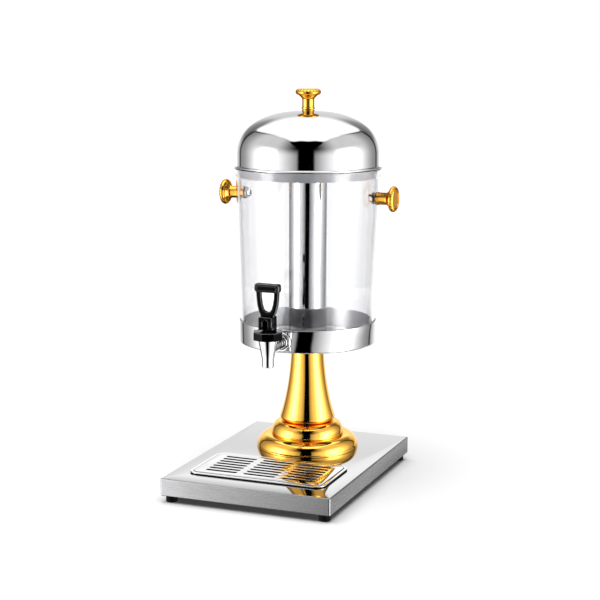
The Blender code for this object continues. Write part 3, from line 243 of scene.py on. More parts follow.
def addGrain(tree, shader, where, size, rough, relief=0.0, stretch=(1, 1, 1)):
    # noise, drawn out along the work, sets roughness and a shallow relief; size and relief in millimetres
    place = addNode(tree, "ShaderNodeMapping", {"Scale": stretch}, {"Vector": where})
    noise = addNode(tree, "ShaderNodeTexNoise", {"Scale": 1 / (size * mm), "Detail": 3.0},
                    {"Vector": place.outputs["Vector"]})
    span = {"From Min": 0.3, "From Max": 0.7, "To Min": rough[0], "To Max": rough[1]}  # noise's usual span
    level = addNode(tree, "ShaderNodeMapRange", span, {"Value": noise.outputs["Fac"]})
    tree.links.new(level.outputs["Result"], shader.inputs["Roughness"])
    if relief:
        bump = addNode(tree, "ShaderNodeBump", {"Strength": 1.0, "Distance": relief * mm},
                       {"Height": noise.outputs["Fac"]})
        tree.links.new(bump.outputs["Normal"], shader.inputs["Normal"])
    return noise


def addMottle(tree, shader, noise, dark, light):
    # the same noise moves the colour between two close tones, the mix's sockets 6 and 7
    mix = addNode(tree, "ShaderNodeMix", {"data_type": "RGBA", 6: linear(dark), 7: linear(light)},
                  {0: noise.outputs["Fac"]})
    tree.links.new(mix.outputs[2], shader.inputs["Base Color"])


def grainedFinish(name, settings, dark, light, **grain):
    # a finish whose roughness, relief and colour follow one noise
    finish, tree, shader, where = startFinish(name, settings)
    addMottle(tree, shader, addGrain(tree, shader, where, **grain), dark, light)
    return finish


metal = {"Metallic": 1.0}

# mirror-polished stainless sheet: a clean mirror, a touch softer in cloudy patches some 18 mm across
mirrorSteel = grainedFinish("mirrorSteel", metal, "#C4C4C5", "#CECECF", size=18, rough=(0.02, 0.06))

# painted shade: near-black steel for the slots, the turned-down rims and the tray's walls, which lie in
# shade, grain 1.5 mm
paintedShadeSteel = grainedFinish("paintedShadeSteel", metal, "#1A1A1B", "#242425",
                            size=1.5, rough=(0.32, 0.45), relief=0.008)

# pan inside: brushed soft, so that it mirrors the tube only as a blur, grain 3 mm
satinSteel = grainedFinish("satinSteel", metal, "#DCDCDE", "#E6E6E8",
                           size=3, rough=(0.38, 0.48), relief=0.002)

# lid ring: pale blasted steel that blurs all it mirrors, grain 1.5 mm
paleSteel = grainedFinish("paleSteel", metal, "#E2E2E4", "#EAEAEC", size=1.5, rough=(0.85, 1.0), relief=0.006)

# base top: rolled mirror sheet, with straight rolling lines 3 mm apart along the width
topSteel = grainedFinish("rolledSteelTop", metal, "#A8A8A9", "#B2B2B3", size=3, rough=(0.02, 0.07),
                         stretch=(0.03, 1, 1))

# base sides: brushed along the edge, lines 0.9 mm apart (finer on the real one, below the picture's grain)
# its colour is darker than the top's: painted shade on the sides; the brushed lines are real
shadedSideSteel = grainedFinish("brushedAndShadedSteelSides", metal, "#868687", "#969697", size=0.9, rough=(0.2, 0.34),
                          relief=0.012, stretch=(0.03, 0.03, 1))

# pan outside: turned sheet with lines 1 mm apart round the axis, so the grain lies on angle and height
turnedSteel, tree, shader, where = startFinish("turnedSteel", metal)
centred = addNode(tree, "ShaderNodeMapping", {"Location": (0, -axisY * mm, 0)}, {"Vector": where})
split = addNode(tree, "ShaderNodeSeparateXYZ", {}, {"Vector": centred.outputs["Vector"]})
angle = addNode(tree, "ShaderNodeMath", {"operation": "ARCTAN2"},
                {0: split.outputs["Y"], 1: split.outputs["X"]})
wrapped = addNode(tree, "ShaderNodeCombineXYZ", {}, {"X": angle.outputs["Value"], "Y": split.outputs["Z"]})
noise = addGrain(tree, shader, wrapped.outputs["Vector"], size=1.0, rough=(0.03, 0.08), relief=0.0015,
                 stretch=(0.004, 1, 1))
addMottle(tree, shader, noise, "#C0C0C0", "#CECECE")

# gold plate over polished brass: deep yellow mirror, slightly softer in patches 9 mm across
goldPlate = grainedFinish("goldPlate", {**metal, "Specular Tint": linear("#FFF2DC")}, "#F8B84C", "#FCC25A",
                          size=9, rough=(0.04, 0.1))

# the knobs' gold: the same gold painted browner and deeper as shade, with dark brown grazing edges as a
# painted dark outline, patches 5 mm across
shadedKnobGold = grainedFinish("shadedKnobGoldPlate", {**metal, "Specular Tint": linear("#A0682C")}, "#DC9C3C", "#E6AA4A",
                         size=5, rough=(0.02, 0.05))

# the knobs' sunk faces: gold blasted matt, grain 0.7 mm
mattGold = grainedFinish("mattGoldPlate", metal, "#C88C28", "#D8A03C",
                         size=0.7, rough=(0.34, 0.5), relief=0.03)

# chrome plate: cool bright mirror with a faint cast texture 4 mm across, its grazing edges tinted dark grey
# as a painted dark outline
chromePlate = grainedFinish("chromePlate", {**metal, "Specular Tint": linear("#56565C")},
                            "#D4D4D6", "#DEDEE0", size=4, rough=(0.02, 0.05))

# zinc-plated fasteners: dull bluish grey with crystals 1.5 mm across
zincSteel = grainedFinish("zincSteel", metal, "#B8BCC2", "#CDD0D5", size=1.5, rough=(0.28, 0.42), relief=0.01)

# clear polycarbonate: colourless and smooth, softer in patches 30 mm across, greyer along the wall
clearPlastic, tree, shader, where = startFinish("clearPolycarbonate", {
    "Base Color": linear("#FAFAFB"), "Transmission Weight": 1.0, "IOR": 1.58})
addGrain(tree, shader, where, size=30, rough=(0.0, 0.02))
depth = addNode(tree, "ShaderNodeVolumeAbsorption", {"Color": linear("#BEBEC1"), "Density": 7.0})
tree.links.new(depth.outputs["Volume"], tree.nodes["Material Output"].inputs["Volume"])

# moulded black nylon: near black with a moulding grain of 0.8 mm
blackNylon = grainedFinish("blackNylon", {"Specular IOR Level": 0.045}, "#020202", "#070707",
                           size=0.8, rough=(0.08, 0.16), relief=0.004)

# the nylon's rounded edges: lighter and glossier, a painted highlight so that they catch the light, grain of
# 0.8 mm
highlightEdgeNylon = grainedFinish("highlightEdgeNylon", {"Specular IOR Level": 0.9}, "#1C1C1C", "#2A2A2A",
                          size=0.8, rough=(0.14, 0.24), relief=0.002)

# black rubber: matt, dusty, grain of 1.2 mm
blackRubber = grainedFinish("blackRubber", {"Specular IOR Level": 0.06}, "#080808", "#101010",
                            size=1.2, rough=(0.55, 0.75), relief=0.02)

# white silicone: milky, soft sheen, grain of 2 mm
milky = {"Subsurface Weight": 0.15, "Subsurface Radius": (0.002, 0.002, 0.002)}
whiteSilicone = grainedFinish("whiteSilicone", milky, "#E4E4E0", "#EEEEEA",
                              size=2, rough=(0.4, 0.55), relief=0.01)

slotFinish = {
    "brushed_steel": turnedSteel, "polished_steel": mirrorSteel, "zinc_steel": zincSteel,
    "gold_plate": goldPlate, "chrome": chromePlate, "clear_polycarbonate": clearPlastic,
    "black_nylon": blackNylon, "black_rubber": blackRubber, "white_silicone": whiteSilicone}
for part in frame["record"]["subparts"]:
    mesh = frame["nodes"][part["node"]].data
    mesh.materials.clear()
    mesh.materials.append(slotFinish[part["material_slot"]])
print("finishes ready:", len(bpy.data.materials))


# Base: one folded sheet, open below, with a hole for the drip tray.
baseForm = dict(width=260, depth=350, low=10, sheet=1.5, lip=24, edge=2.0, corner=2.4, leastCorner=0.5,
                steps=8, holeWidth=206, holeDepth=110, holeCorner=13.5, level=0.98, topSkin=0.1)
low, edge, sheet, lip = take(baseForm, "low edge sheet lip")
side = np.vstack([arc((edge, low + edge), edge, 270, 180, 5), arc((edge, baseTop - edge), edge, 180, 90, 6)])
hole = roundedLoop(baseForm["holeWidth"], baseForm["holeDepth"], baseForm["holeCorner"], trayY)
within, turnedIn = (insetLoop(baseForm, inset, baseY) for inset in (sheet, lip))
levels = [(turnedIn, low)] + [(insetLoop(baseForm, inset, baseY), z) for inset, z in side]
levels += [(hole, baseTop), (hole, baseTop - sheet), (within, baseTop - sheet)]
levels += [(within, low + sheet), (turnedIn, low + sheet)]


def isBaseTop(centres, normals):
    # the level top; the rest of the sheet takes the sides' darker tone, a painted shade
    return (normals[:, 2] > baseForm["level"]) & (centres[:, 2] > baseTop - baseForm["topSkin"])


addPiece("baseShell", [loft(levels)], [shadedSideSteel, topSteel], "stand", ["base_shell"],
         sharp=20, pick=isBaseTop)

# Feet: rubber buttons, rounded below.
footForm = dict(round=1.6, topEdge=0.6)
rounding, topEdge = take(footForm, "round topEdge")
for corner in ("front_left", "front_right", "back_left", "back_right"):
    node = "foot_" + corner
    (x0, x1), (y0, y1), (z0, z1) = (spanOf(node, axis) for axis in range(3))
    radius = (x1 - x0) / 2
    profile = np.vstack([
        [(0, z0)], arc((radius - rounding, z0 + rounding), rounding, 270, 360, 6),
        arc((radius - topEdge, z1 - topEdge), topEdge, 0, 90, 4), [(0, z1)]])
    addPiece("foot." + corner, [lathe(profile, ((x0 + x1) / 2, (y0 + y1) / 2, 0), turns=48)], [blackRubber],
             "stand", [node])
print("base ready")

# Drip tray: a drawn dish whose flange lies on the base with a bead below it. Heights are from the base's top.
trayForm = dict(width=201, depth=105, corner=11, leastCorner=1.2, steps=12, sheet=1.2, flange=5.0,
                flangeTop=2.8, roll=0.8, lip=0.5, beadIn=2.4, beadOut=3.6, beadLow=0.3, ledge=-2.2, well=4.0,
                wellEdge=2.4, floor=-18.0, floorOut=5.8, shadeLow=-3.0, shadeSkin=0.05, shadeLean=0.5)
sheet, flange, top, roll, lip = take(trayForm, "sheet flange flangeTop roll lip")
beadIn, beadOut, beadLow = take(trayForm, "beadIn beadOut beadLow")
ledge, well, wellEdge, bottom = take(trayForm, "ledge well wellEdge floor")
under = top - 2 * roll  # the flange's underside
section = np.vstack([
    [(trayForm["floorOut"], bottom - sheet), (well - sheet, bottom + wellEdge - sheet)],
    [(well - sheet, ledge - sheet), (-sheet, ledge - sheet), (-sheet, under), (-beadIn, under)],
    [(-beadIn, beadLow), (-beadOut, beadLow), (-beadOut, under)],
    arc((-flange + roll, top - roll), roll, 270, 90, 10), arc((-lip, top - lip), lip, 90, 0, 4),
    [(0, ledge), (well, ledge), (well, bottom + wellEdge), (well + wellEdge, bottom)]])
levels = [(insetLoop(trayForm, inset, trayY), baseTop + z) for inset, z in section]


def isTrayShade(centres, normals):
    # the well, and what faces down or sideways below the flange, which take the near-black painted shade: a
    # painted shadow under the flange
    up, lean = centres[:, 2] - baseTop, normals[:, 2]
    below = (up < under + trayForm["shadeSkin"]) & (lean < trayForm["shadeLean"])
    return below | (up < trayForm["shadeLow"])


addPiece("dripTray", [loft(levels, "cap")], [mirrorSteel, paintedShadeSteel], "tray",
         ["drip_tray"], sharp=25, pick=isTrayShade)

# Grille: a flat sheet with three columns of seven slots and a rim turned down all round.
grilleForm = dict(width=199.4, depth=103.4, corner=10.2, leastCorner=1.2, steps=10, sheet=1.5, edge=0.5,
                  columns=3, rows=7, slotLength=48.6, slotWidth=6.8, pitchX=59.2, pitchY=12.1, hair=0.001,
                  shadeLean=0.3)
low, top = spanOf("drip_grille", 2)
sheet, edge = take(grilleForm, "sheet edge")


def slotLoop(column, row, grow):
    # a slot with round ends, made larger all round by grow; a hair keeps the ends' points apart
    x = (column - (grilleForm["columns"] - 1) / 2) * grilleForm["pitchX"]
    y = (row - (grilleForm["rows"] - 1) / 2) * grilleForm["pitchY"]
    wide = grilleForm["slotWidth"] + 2 * grow
    loop = roundedLoop(grilleForm["slotLength"] + 2 * grow, wide, wide / 2 - grilleForm["hair"], steps=6)
    return loop + np.array([x, trayY + y])


places = [(column, row) for column in range(grilleForm["columns"]) for row in range(grilleForm["rows"])]
upperEdge = arc((edge, top - edge), edge, 90, 180, 4)  # inset or grow, and height, of a rounded upper edge
patches = []
for place in places:
    levels = [(slotLoop(*place, grow), z) for grow, z in upperEdge]
    patches.append(loft(levels + [(slotLoop(*place, 0), top - sheet)], "open"))
rim = np.vstack([upperEdge, [(0, low), (sheet, low), (sheet, top - sheet)]])
patches.append(loft([(insetLoop(grilleForm, inset, trayY), z) for inset, z in rim], "open"))
for inset, grow, z in ((edge, edge, top), (sheet, 0, top - sheet)):
    holes = [slotLoop(*place, grow) for place in places]
    patches.append(holedSheet(insetLoop(grilleForm, inset, trayY), holes, z))


def isGrilleShade(centres, normals):
    # all but the top, which takes the near-black painted shade of the slots and the turned-down rim
    return (centres[:, 2] < top - edge) | (normals[:, 2] < grilleForm["shadeLean"])


addPiece("dripGrille", patches, [mirrorSteel, paintedShadeSteel], "grille", ["drip_grille"],
         sharp=12, pick=isGrilleShade)
print("tray and grille ready")


# Column: two bulged rings and a waisted neck, spun and plated.
def bulgeProfile(low, high, radius, bulge, rise, under, wall, bore):
    # a quarter bulge up to a flat deck over a shallower one that tucks in at the foot, hollow below
    centre = (radius - bulge, high - rise)
    underIn = under + 1  # the hollow tucks in less
    foot, footIn = (math.degrees(math.asin((low - centre[1]) / reach)) for reach in (under, underIn))
    return np.vstack([
        arc(centre, (bulge, under), foot, 0, 14)[:-1], arc(centre, (bulge, rise), 0, 90, 30),
        [(bore, high), (bore, high - wall)], arc(centre, (bulge - wall, rise - wall), 90, 0, 20)[:-1],
        arc(centre, (bulge - wall, underIn), 0, footIn, 8)])


footRing = dict(radius=77.7, bulge=18, rise=19.8, under=5.0, wall=2.5, bore=5.4)
midRing = dict(radius=55.3, bulge=14.5, rise=19.4, under=5.0, wall=2.5, bore=5.4)
seamForm = dict(up=3.8, gap=0.3)  # the rings meet a little higher than in the plain solids
seam = spanOf("column_mid_ring", 2)[0] + seamForm["up"]
footProfile = bulgeProfile(spanOf("column_foot_ring", 2)[0], seam - seamForm["gap"], **footRing)
midProfile = bulgeProfile(seam, spanOf("column_mid_ring", 2)[1], **midRing)
addPiece("columnFootRing", [lathe(footProfile)], [goldPlate], "stand", ["column_foot_ring"])
addPiece("columnMidRing", [lathe(midProfile)], [goldPlate], "stand", ["column_mid_ring"])

# heights and the waist are shares of the neck's height and of its narrowing
neckForm = dict(round=6.5, footRadius=41.8, topRadius=24.8, wall=2.5, bore=5.4,
                waist=0.44, waistUp=0.24, slimUp=0.59)
low, high = spanOf("column_neck", 2)
turned, foot, neck, wall, bore = take(neckForm, "round footRadius topRadius wall bore")
waist = foot - neckForm["waist"] * (foot - neck)
waistZ, slimZ = (low + neckForm[key] * (high - low) for key in ("waistUp", "slimUp"))
toe = arc((foot - turned, low + turned), turned, -90, 20, 20)
outside = np.vstack([toe[:-1], bend(toe[-1], (waist, waistZ), (neck, slimZ), (neck, high))])
inside = bend((neck - wall, high - wall), (neck - wall, slimZ),
              (waist - wall, waistZ), (foot - turned - wall, low))
neckProfile = np.vstack([outside, [(bore, high), (bore, high - wall)], inside])
addPiece("columnNeck", [lathe(neckProfile)], [goldPlate], "stand", ["column_neck"])
print("column ready")

# Pan: a turned steel dish that the tank stands in.
panForm = dict(radius=104.2, sheet=1.2, round=3.0, bore=5.4, rim=0.5, skin=0.36)
low, high = spanOf("bottom_pan", 2)
radius, sheet, rounding, rim, bore = take(panForm, "radius sheet round rim bore")
panProfile = np.vstack([
    [(bore, low)], arc((radius - rounding, low + rounding), rounding, 270, 360, 10),
    arc((radius - rim, high - rim), rim, 0, 90, 4), arc((radius - sheet + rim, high - rim), rim, 90, 180, 4),
    arc((radius - rounding, low + rounding), rounding - sheet, 360, 270, 8), [(bore, low + sheet)]])


def isPanInside(centres, normals):
    # the dish's inner wall and floor
    away = np.hypot(centres[:, 0], centres[:, 1] - axisY)
    return (away < radius - panForm["skin"]) & (centres[:, 2] > low + sheet / 2)


addPiece("bottomPan", [lathe(panProfile)], [turnedSteel, satinSteel], "stand",
         ["bottom_pan"], pick=isPanInside)

# Tank: a clear beaker, slightly wider upwards, whose mouth flares out to a lip.
tankForm = dict(footRadius=101.5, spread=0.0285, wall=4.5, floor=3.0, round=3.0, insideRound=3.0, flare=2.4,
                mouth=13.7, soft=1.0, edge=1.2, bore=5.4)
low, high = spanOf("tank", 2)
wall, bottom, rounding, insideRound = take(tankForm, "wall floor round insideRound")
soft, edge, bore = take(tankForm, "soft edge bore")
mouthZ = high - tankForm["mouth"]


def tankRadius(z):
    # straight taper from the foot, plus the flare that sets in smoothly below the lip
    taper = tankForm["footRadius"] + tankForm["spread"] * (z - low)
    return taper + tankForm["flare"] * ramp(z, mouthZ - soft, high + soft)


zOut = np.concatenate([np.linspace(low + rounding, mouthZ - soft, 24), np.linspace(mouthZ, high - edge, 12)])
zIn = zOut[::-1][:-1]
inside = np.column_stack([tankRadius(zIn) - wall, zIn])
lipRadius = tankRadius(high - edge)
turnZ = low + bottom + insideRound  # where the inner wall turns into the floor
tankProfile = np.vstack([
    [(bore, low)], arc((tankRadius(low + rounding) - rounding, low + rounding), rounding, 270, 358, 8),
    np.column_stack([tankRadius(zOut), zOut]), arc((lipRadius - edge, high - edge), edge, 5, 90, 5),
    arc((lipRadius - wall + edge, high - edge), edge, 90, 175, 5), inside[inside[:, 1] > turnZ],
    arc((tankRadius(turnZ) - wall - insideRound, turnZ), insideRound, 358, 270, 6), [(bore, low + bottom)]])
tank = addPiece("clearTank", [lathe(tankProfile, turns=192)], [clearPlastic], "stand",
                ["tank"], sharp=40)
tank.visible_shadow = False  # light goes through the clear wall

# Ice tube: a straight steel cup with a rolled rim and a boss for its rod.
tubeForm = dict(radius=29.4, sheet=1.2, round=2.0, insideRound=1.8, rim=0.6, rimHigh=2.4, bore=5.4, boss=9.0,
                bossHigh=16.0)
low, high = spanOf("ice_tube", 2)
radius, sheet, rounding, insideRound = take(tubeForm, "radius sheet round insideRound")
rim, rimHigh, bore, boss, bossHigh = take(tubeForm, "rim rimHigh bore boss bossHigh")
turnZ = low + sheet + insideRound
tubeProfile = np.vstack([
    [(bore, low)], arc((radius - rounding, low + rounding), rounding, 270, 360, 8),
    [(radius, high - rimHigh)], arc((radius, high - rimHigh / 2), (rim, rimHigh / 2), -90, 90, 8),
    [(radius - sheet, high), (radius - sheet, turnZ)],
    arc((radius - sheet - insideRound, turnZ), insideRound, 360, 270, 6),
    [(boss, low + sheet), (boss, low + bossHigh), (bore, low + bossHigh)]])
addPiece("iceTube", [lathe(tubeProfile)], [mirrorSteel], "stand", ["ice_tube"])
print("tank ready")

# Lid: a pressed dome on a short upright band with a rolled edge, and a ring that centres it in the tank.
lidForm = dict(radius=107.6, sheet=1.2, band=18.0, power=2 / 2.3, crown=88.4, roll=1.5, rollOut=2.9, cove=1.4,
               coveUp=4.4, tuckOut=1.0, tuckUp=0.3, hemUp=3.9, hemIn=0.2, hemLow=1.8)
low, high = spanOf("lid_dome", 2)
radius, sheet, power, crown = take(lidForm, "radius sheet power crown")  # crown: degrees up to the bore
roll, rollOut, cove, coveUp = take(lidForm, "roll rollOut cove coveUp")
springLine = low + lidForm["band"]  # where the dome leaves the band


def domeArc(radius, rise, start, end, steps=60):
    # superellipse: radius times a power of the cosine, rise times the same power of the sine
    turn = np.radians(np.linspace(start, end, steps + 1))
    return np.column_stack([radius * np.cos(turn) ** power, springLine + rise * np.sin(turn) ** power])


lidProfile = np.vstack([
    [(radius + lidForm["tuckOut"], low + lidForm["tuckUp"])],
    arc((radius + rollOut, low + roll), roll, 240, 470, 22),
    arc((radius + cove, low + coveUp), cove, 270, 180, 6), domeArc(radius, high - springLine, 0, crown),
    domeArc(radius - sheet, high - springLine - sheet, crown, 0),
    [(radius - sheet, low + lidForm["hemUp"]), (radius - lidForm["hemIn"], low + lidForm["hemLow"])]])
addPiece("lidDome", [lathe(lidProfile, turns=192)], [mirrorSteel], "lid", ["lid_dome"])

skirtForm = dict(radius=103.3, sheet=1.0, web=106.1, round=0.4)
low, high = spanOf("lid_skirt", 2)
radius, sheet, web, rounding = take(skirtForm, "radius sheet web round")
skirtProfile = np.vstack([
    arc((radius - rounding, low + rounding), rounding, 270, 360, 4),
    [(radius, high - sheet), (web, high - sheet), (web, high), (radius - sheet, high)],
    arc((radius - sheet + rounding, low + rounding), rounding, 180, 270, 4)])
addPiece("lidSkirt", [lathe(skirtProfile)], [paleSteel], "lid", ["lid_skirt"])

# Knobs: a turned neck that opens into a fluted disc, one on the lid and one on each side of the tank.
knobForm = dict(foot=9.7, footEdge=0.6, footHigh=3.4, collarEdge=0.7, groove=0.35, grooveUp=(0.1, 0.5, 0.8),
                neck=9.0, neckHigh=14.5, coveIn=(9.3, 17.4), coveOut=(12.2, 18.9), coveEnd=14.7, head=19.0,
                rim=4.3, length=30.0, face=14.2, sunk=1.2, crownAt=6, crownUp=(0.5, 0.7), faceLow=27,
                flutes=24, fluteDepth=0.9, fluteFrom=(14.4, 16.4), fluteUp=(25.4, 28.2), faceLean=0.9)


def knobProfile():
    # radius and height from the seat outwards: collar, groove, neck, cove, round rim and sunk face
    foot, footEdge, collar, collarEdge = take(knobForm, "foot footEdge footHigh collarEdge")
    neck, groove, grooveUp, rim, length = take(knobForm, "neck groove grooveUp rim length")
    face, sunk, crownUp = take(knobForm, "face sunk crownUp")
    coveEnd = (knobForm["coveEnd"], length - 2 * rim)
    return np.vstack([
        [(0, 0)], arc((foot - footEdge, footEdge), footEdge, 270, 360, 4),
        arc((foot - collarEdge, collar - collarEdge), collarEdge, 0, 60, 4),
        [(neck - groove, collar + grooveUp[0]), (neck - groove, collar + grooveUp[1])],
        [(neck, collar + grooveUp[2])],
        bend((neck, knobForm["neckHigh"]), knobForm["coveIn"], knobForm["coveOut"], coveEnd, 24),
        arc((knobForm["head"] - rim, length - rim), rim, -95, 90, 40), [(face, length)],
        arc((face, length - sunk), sunk, 100, 180, 4)[1:-1], [(face - sunk, length - sunk)],
        [(knobForm["crownAt"], length - sunk + crownUp[0]), (0, length - sunk + crownUp[1])]])


def isKnobFace(reach, normals, way):
    # the sunk disc at the knob's end, by each face's place from the knob's seat
    out = reach @ way
    off = np.linalg.norm(reach - out[:, None] * way, axis=1)
    faces = (normals @ way > knobForm["faceLean"]) & (out > knobForm["faceLow"])
    return faces & (off < knobForm["face"])


profile = knobProfile()
fluteDepth = knobForm["fluteDepth"] * ramp(profile[:, 0], *knobForm["fluteFrom"])
fluteDepth = fluteDepth * ramp(profile[:, 1], *knobForm["fluteUp"])
long = knobForm["length"]
leftZ, rightZ = (sum(spanOf("side_knob_" + side, 2)) / 2 for side in ("left", "right"))
knobPlaces = [
    ("lidKnob", "lid_knob", "lid", "z", (0, axisY, spanOf("lid_knob", 2)[1] - long)),
    ("sideKnob.left", "side_knob_left", "stand", "-x", (spanOf("side_knob_left", 0)[0] + long, axisY, leftZ)),
    ("sideKnob.right", "side_knob_right", "stand", "x",
     (spanOf("side_knob_right", 0)[1] - long, axisY, rightZ))]
knobWays = {"z": (0, 0, 1), "x": (1, 0, 0), "-x": (-1, 0, 0)}
for name, node, body, along, seat in knobPlaces:
    way = np.array(knobWays[along])
    patch = lathe(profile, seat, along, 192, knobForm["flutes"], fluteDepth)
    addPiece(name, [patch], [shadedKnobGold, mattGold], body, [node],
             pick=lambda centres, normals: isKnobFace(centres - seat, normals, way))

# Washers and seals of the side knobs, round plates on either side of the tank's wall.
plateForm = dict(edge=0.25, bore=3.2)
edge, bore = take(plateForm, "edge bore")
plateKinds = (("washer", mirrorSteel, "polished_steel"), ("seal", blackRubber, "black_rubber"))
for side in ("left", "right"):
    for kind, finish, slot in plateKinds:
        node = f"side_knob_{kind}_{side}"
        (x0, x1), (y0, y1), (z0, z1) = (spanOf(node, axis) for axis in range(3))
        radius = (z1 - z0) / 2
        profile = np.vstack([
            [(bore, 0)], arc((radius - edge, edge), edge, 270, 360, 3),
            arc((radius - edge, x1 - x0 - edge), edge, 0, 90, 3), [(bore, x1 - x0)]])
        patch = lathe(profile, (x0, (y0 + y1) / 2, (z0 + z1) / 2), "x", 64)
        addPiece(f"sideKnob.{kind}.{side}", [patch], [finish], "stand", [node])
print("lid and knobs ready")

# Tap: a chromed casting with a tapered barrel, a shank into the tank and a turned escutcheon against the pan.
tapForm = dict(spout=8.75, lip=2.0, straight=13.0, stepOut=0.15, stepHalf=0.4, barrel=14.25, barrelHigh=40.7,
               chamber=8.4, seat=6.8, seatHigh=21, seatLow=19.8, bore=5.6, mouth=0.8,
               shank=8.0, shankBore=5.0, shankStart=9.0)
low, high = spanOf("tap_body", 2)
spout, lip, stepOut, stepHalf, wide = take(tapForm, "spout lip stepOut stepHalf barrel")
chamber, bore, mouth = take(tapForm, "chamber bore mouth")
stepZ, barrelZ, seatZ, seatLowZ = (low + up for up in take(tapForm, "straight barrelHigh seatHigh seatLow"))
barrel = np.vstack([
    arc((spout - lip, low + lip), lip, 270, 360, 8),
    [(spout, stepZ - stepHalf), (spout + stepOut, stepZ + stepHalf)],
    [(wide, barrelZ), (wide, high), (chamber, high), (chamber, seatZ), (tapForm["seat"], seatZ)],
    [(bore, seatLowZ), (bore, low + mouth)], arc((bore + mouth, low + mouth), mouth, 180, 270, 4)])
shankEnd = tapY - spanOf("tap_body", 1)[1]
outer, inner, shankStart = take(tapForm, "shank shankBore shankStart")
shank = [(inner, shankEnd), (outer, shankEnd), (outer, -shankStart), (inner, -shankStart)]
patches = [lathe(barrel, (0, tapY, 0), turns=96), lathe(shank, (0, tapY, tapZ), "-y", 72)]
addPiece("tapCasting", patches, [chromePlate], "stand", ["tap_body"])

escutcheonForm = dict(radius=14.7, proud=5.5, bore=8.35, back=3, bead=2.1, beadUp=1.4, grooveOut=10.4,
                      grooveIn=10.1, grooveUp=1.5, nose=1.5, noseAt=8.6, gap=0.05)
faceY = axisY - panForm["radius"]
radius, proud, bore, back = take(escutcheonForm, "radius proud bore back")
bead, beadUp, nose, noseAt = take(escutcheonForm, "bead beadUp nose noseAt")
grooveOut, grooveIn, grooveUp = take(escutcheonForm, "grooveOut grooveIn grooveUp")
profile = np.vstack([
    [(bore, -back), (radius, -back)], arc((radius - bead, beadUp), bead, 0, 168, 16),
    [(grooveOut, grooveUp), (grooveIn, grooveUp)], arc((noseAt, proud - nose), nose, 0, 88, 10),
    [(bore, proud)]])
points, faces = lathe(profile, (0, faceY, tapZ), "-y", 120)
# the back follows the pan's curve
sag = panForm["radius"] - np.sqrt(panForm["radius"] ** 2 - points[:, 0] ** 2)
points[:, 1] = np.where(points[:, 1] > faceY, faceY + sag + escutcheonForm["gap"], points[:, 1])
addPiece("tapEscutcheon", [(points, faces)], [chromePlate], "stand", ["tap_escutcheon"], sharp=40)

# Bonnet: an eight-sided black nut with rounded edges, one corner to the front.
bonnetForm = dict(sides=8, across=41.3, corner=1.6, chamfer=1.4, footEdge=0.7, bore=15.2, deck=9.0,
                  guide=3.8, roof=4.0, edgeLean=(0.3, 0.96))
low, high = spanOf("tap_bonnet", 2)


def polygonLoop(across, corner, steps=5):
    # a small arc at each corner, as x and y about the tap's axis
    half = math.pi / bonnetForm["sides"]
    reach = (across / 2 - corner) / math.cos(half)
    middle = np.repeat(-math.pi / 2 + 2 * half * np.arange(bonnetForm["sides"]), steps + 1)
    turn = middle + np.tile(np.linspace(-half, half, steps + 1), bonnetForm["sides"])
    x = reach * np.cos(middle) + corner * np.cos(turn)
    return np.column_stack([x, tapY + reach * np.sin(middle) + corner * np.sin(turn)])


def ringLoop(radius):
    # a circle with its points in line with the polygon's
    loop = polygonLoop(bonnetForm["across"], bonnetForm["corner"]) - np.array([0, tapY])
    return loop / np.linalg.norm(loop, axis=1)[:, None] * radius + np.array([0, tapY])


across, chamfer, corner, footEdge = take(bonnetForm, "across chamfer corner footEdge")
bore, deck, guide = (ringLoop(radius) for radius in take(bonnetForm, "bore deck guide"))
roofLow = high - bonnetForm["roof"]
edges = np.vstack([
    arc((footEdge, low + footEdge), footEdge, 270, 180, 4),
    arc((chamfer, high - chamfer), chamfer, 180, 90, 6)])
levels = [(bore, low)] + [(polygonLoop(across - 2 * inset, corner), z) for inset, z in edges]
levels += [(deck, high), (guide, high), (guide, roofLow), (bore, roofLow)]


def isBonnetEdge(centres, normals):
    # the rounded upper edge, which takes the painted highlight
    least, most = bonnetForm["edgeLean"]
    return (normals[:, 2] > least) & (normals[:, 2] < most)


addPiece("tapBonnet", [loft(levels)], [blackNylon, highlightEdgeNylon], "stand", ["tap_bonnet"],
         sharp=28, pick=isBonnetEdge)

# Handle: a yoke with a cam foot astride the stem, a loop with an eye for a finger and a bar on top.
# Places are from the pin: x and z for the loop's curves.
yokeForm = dict(width=20.8, back=9.2, front=-11.9, top=14.2, edge=1.5, slot=4.0, archZ=5.7, slotBack=5.4,
                square=12, webOver=0.3, webUp=0.2, webIn=0.4, camRest=7.5, camRise=4.5, camSide=4.5,
                camTurn=52, edgeLean=(0.45, 0.9))
loopForm = dict(depth=6.5, edge=2.2, eyeZ=27.0, eyeRadius=6.5, split=30,
                eyeSide=((-9.9, 48.9), (-10.3, 41), (-8.6, 31.5), (-6.11, 24.78)),
                sideOut=((-17.8, 54.85), (-17.0, 38), (-16.4, 24), (-10.4, 14.5)),
                footOut=((-10.2, 7.1), (10.2, 7.1)))
barForm = dict(z=54.85, width=38.6, depth=13.5, high=13.3, end=5.0, square=3.4, panelHalf=11.6,
               panelRound=3.6, groove=0.55)
pinPlace = np.array([0, tapY, sum(spanOf("tap_pin", 2)) / 2])


def camFoot(y):
    # flat at the back, then the cam: the reach grows with the angle of tilt
    turn = np.radians(np.linspace(0, yokeForm["camTurn"], 24))
    reach = yokeForm["camRest"] + yokeForm["camRise"] * turn
    camY = -reach * np.sin(turn) - yokeForm["camSide"] * np.cos(turn)
    camZ = -reach * np.cos(turn) + yokeForm["camSide"] * np.sin(turn)
    return np.interp(y, camY[::-1], camZ[::-1])


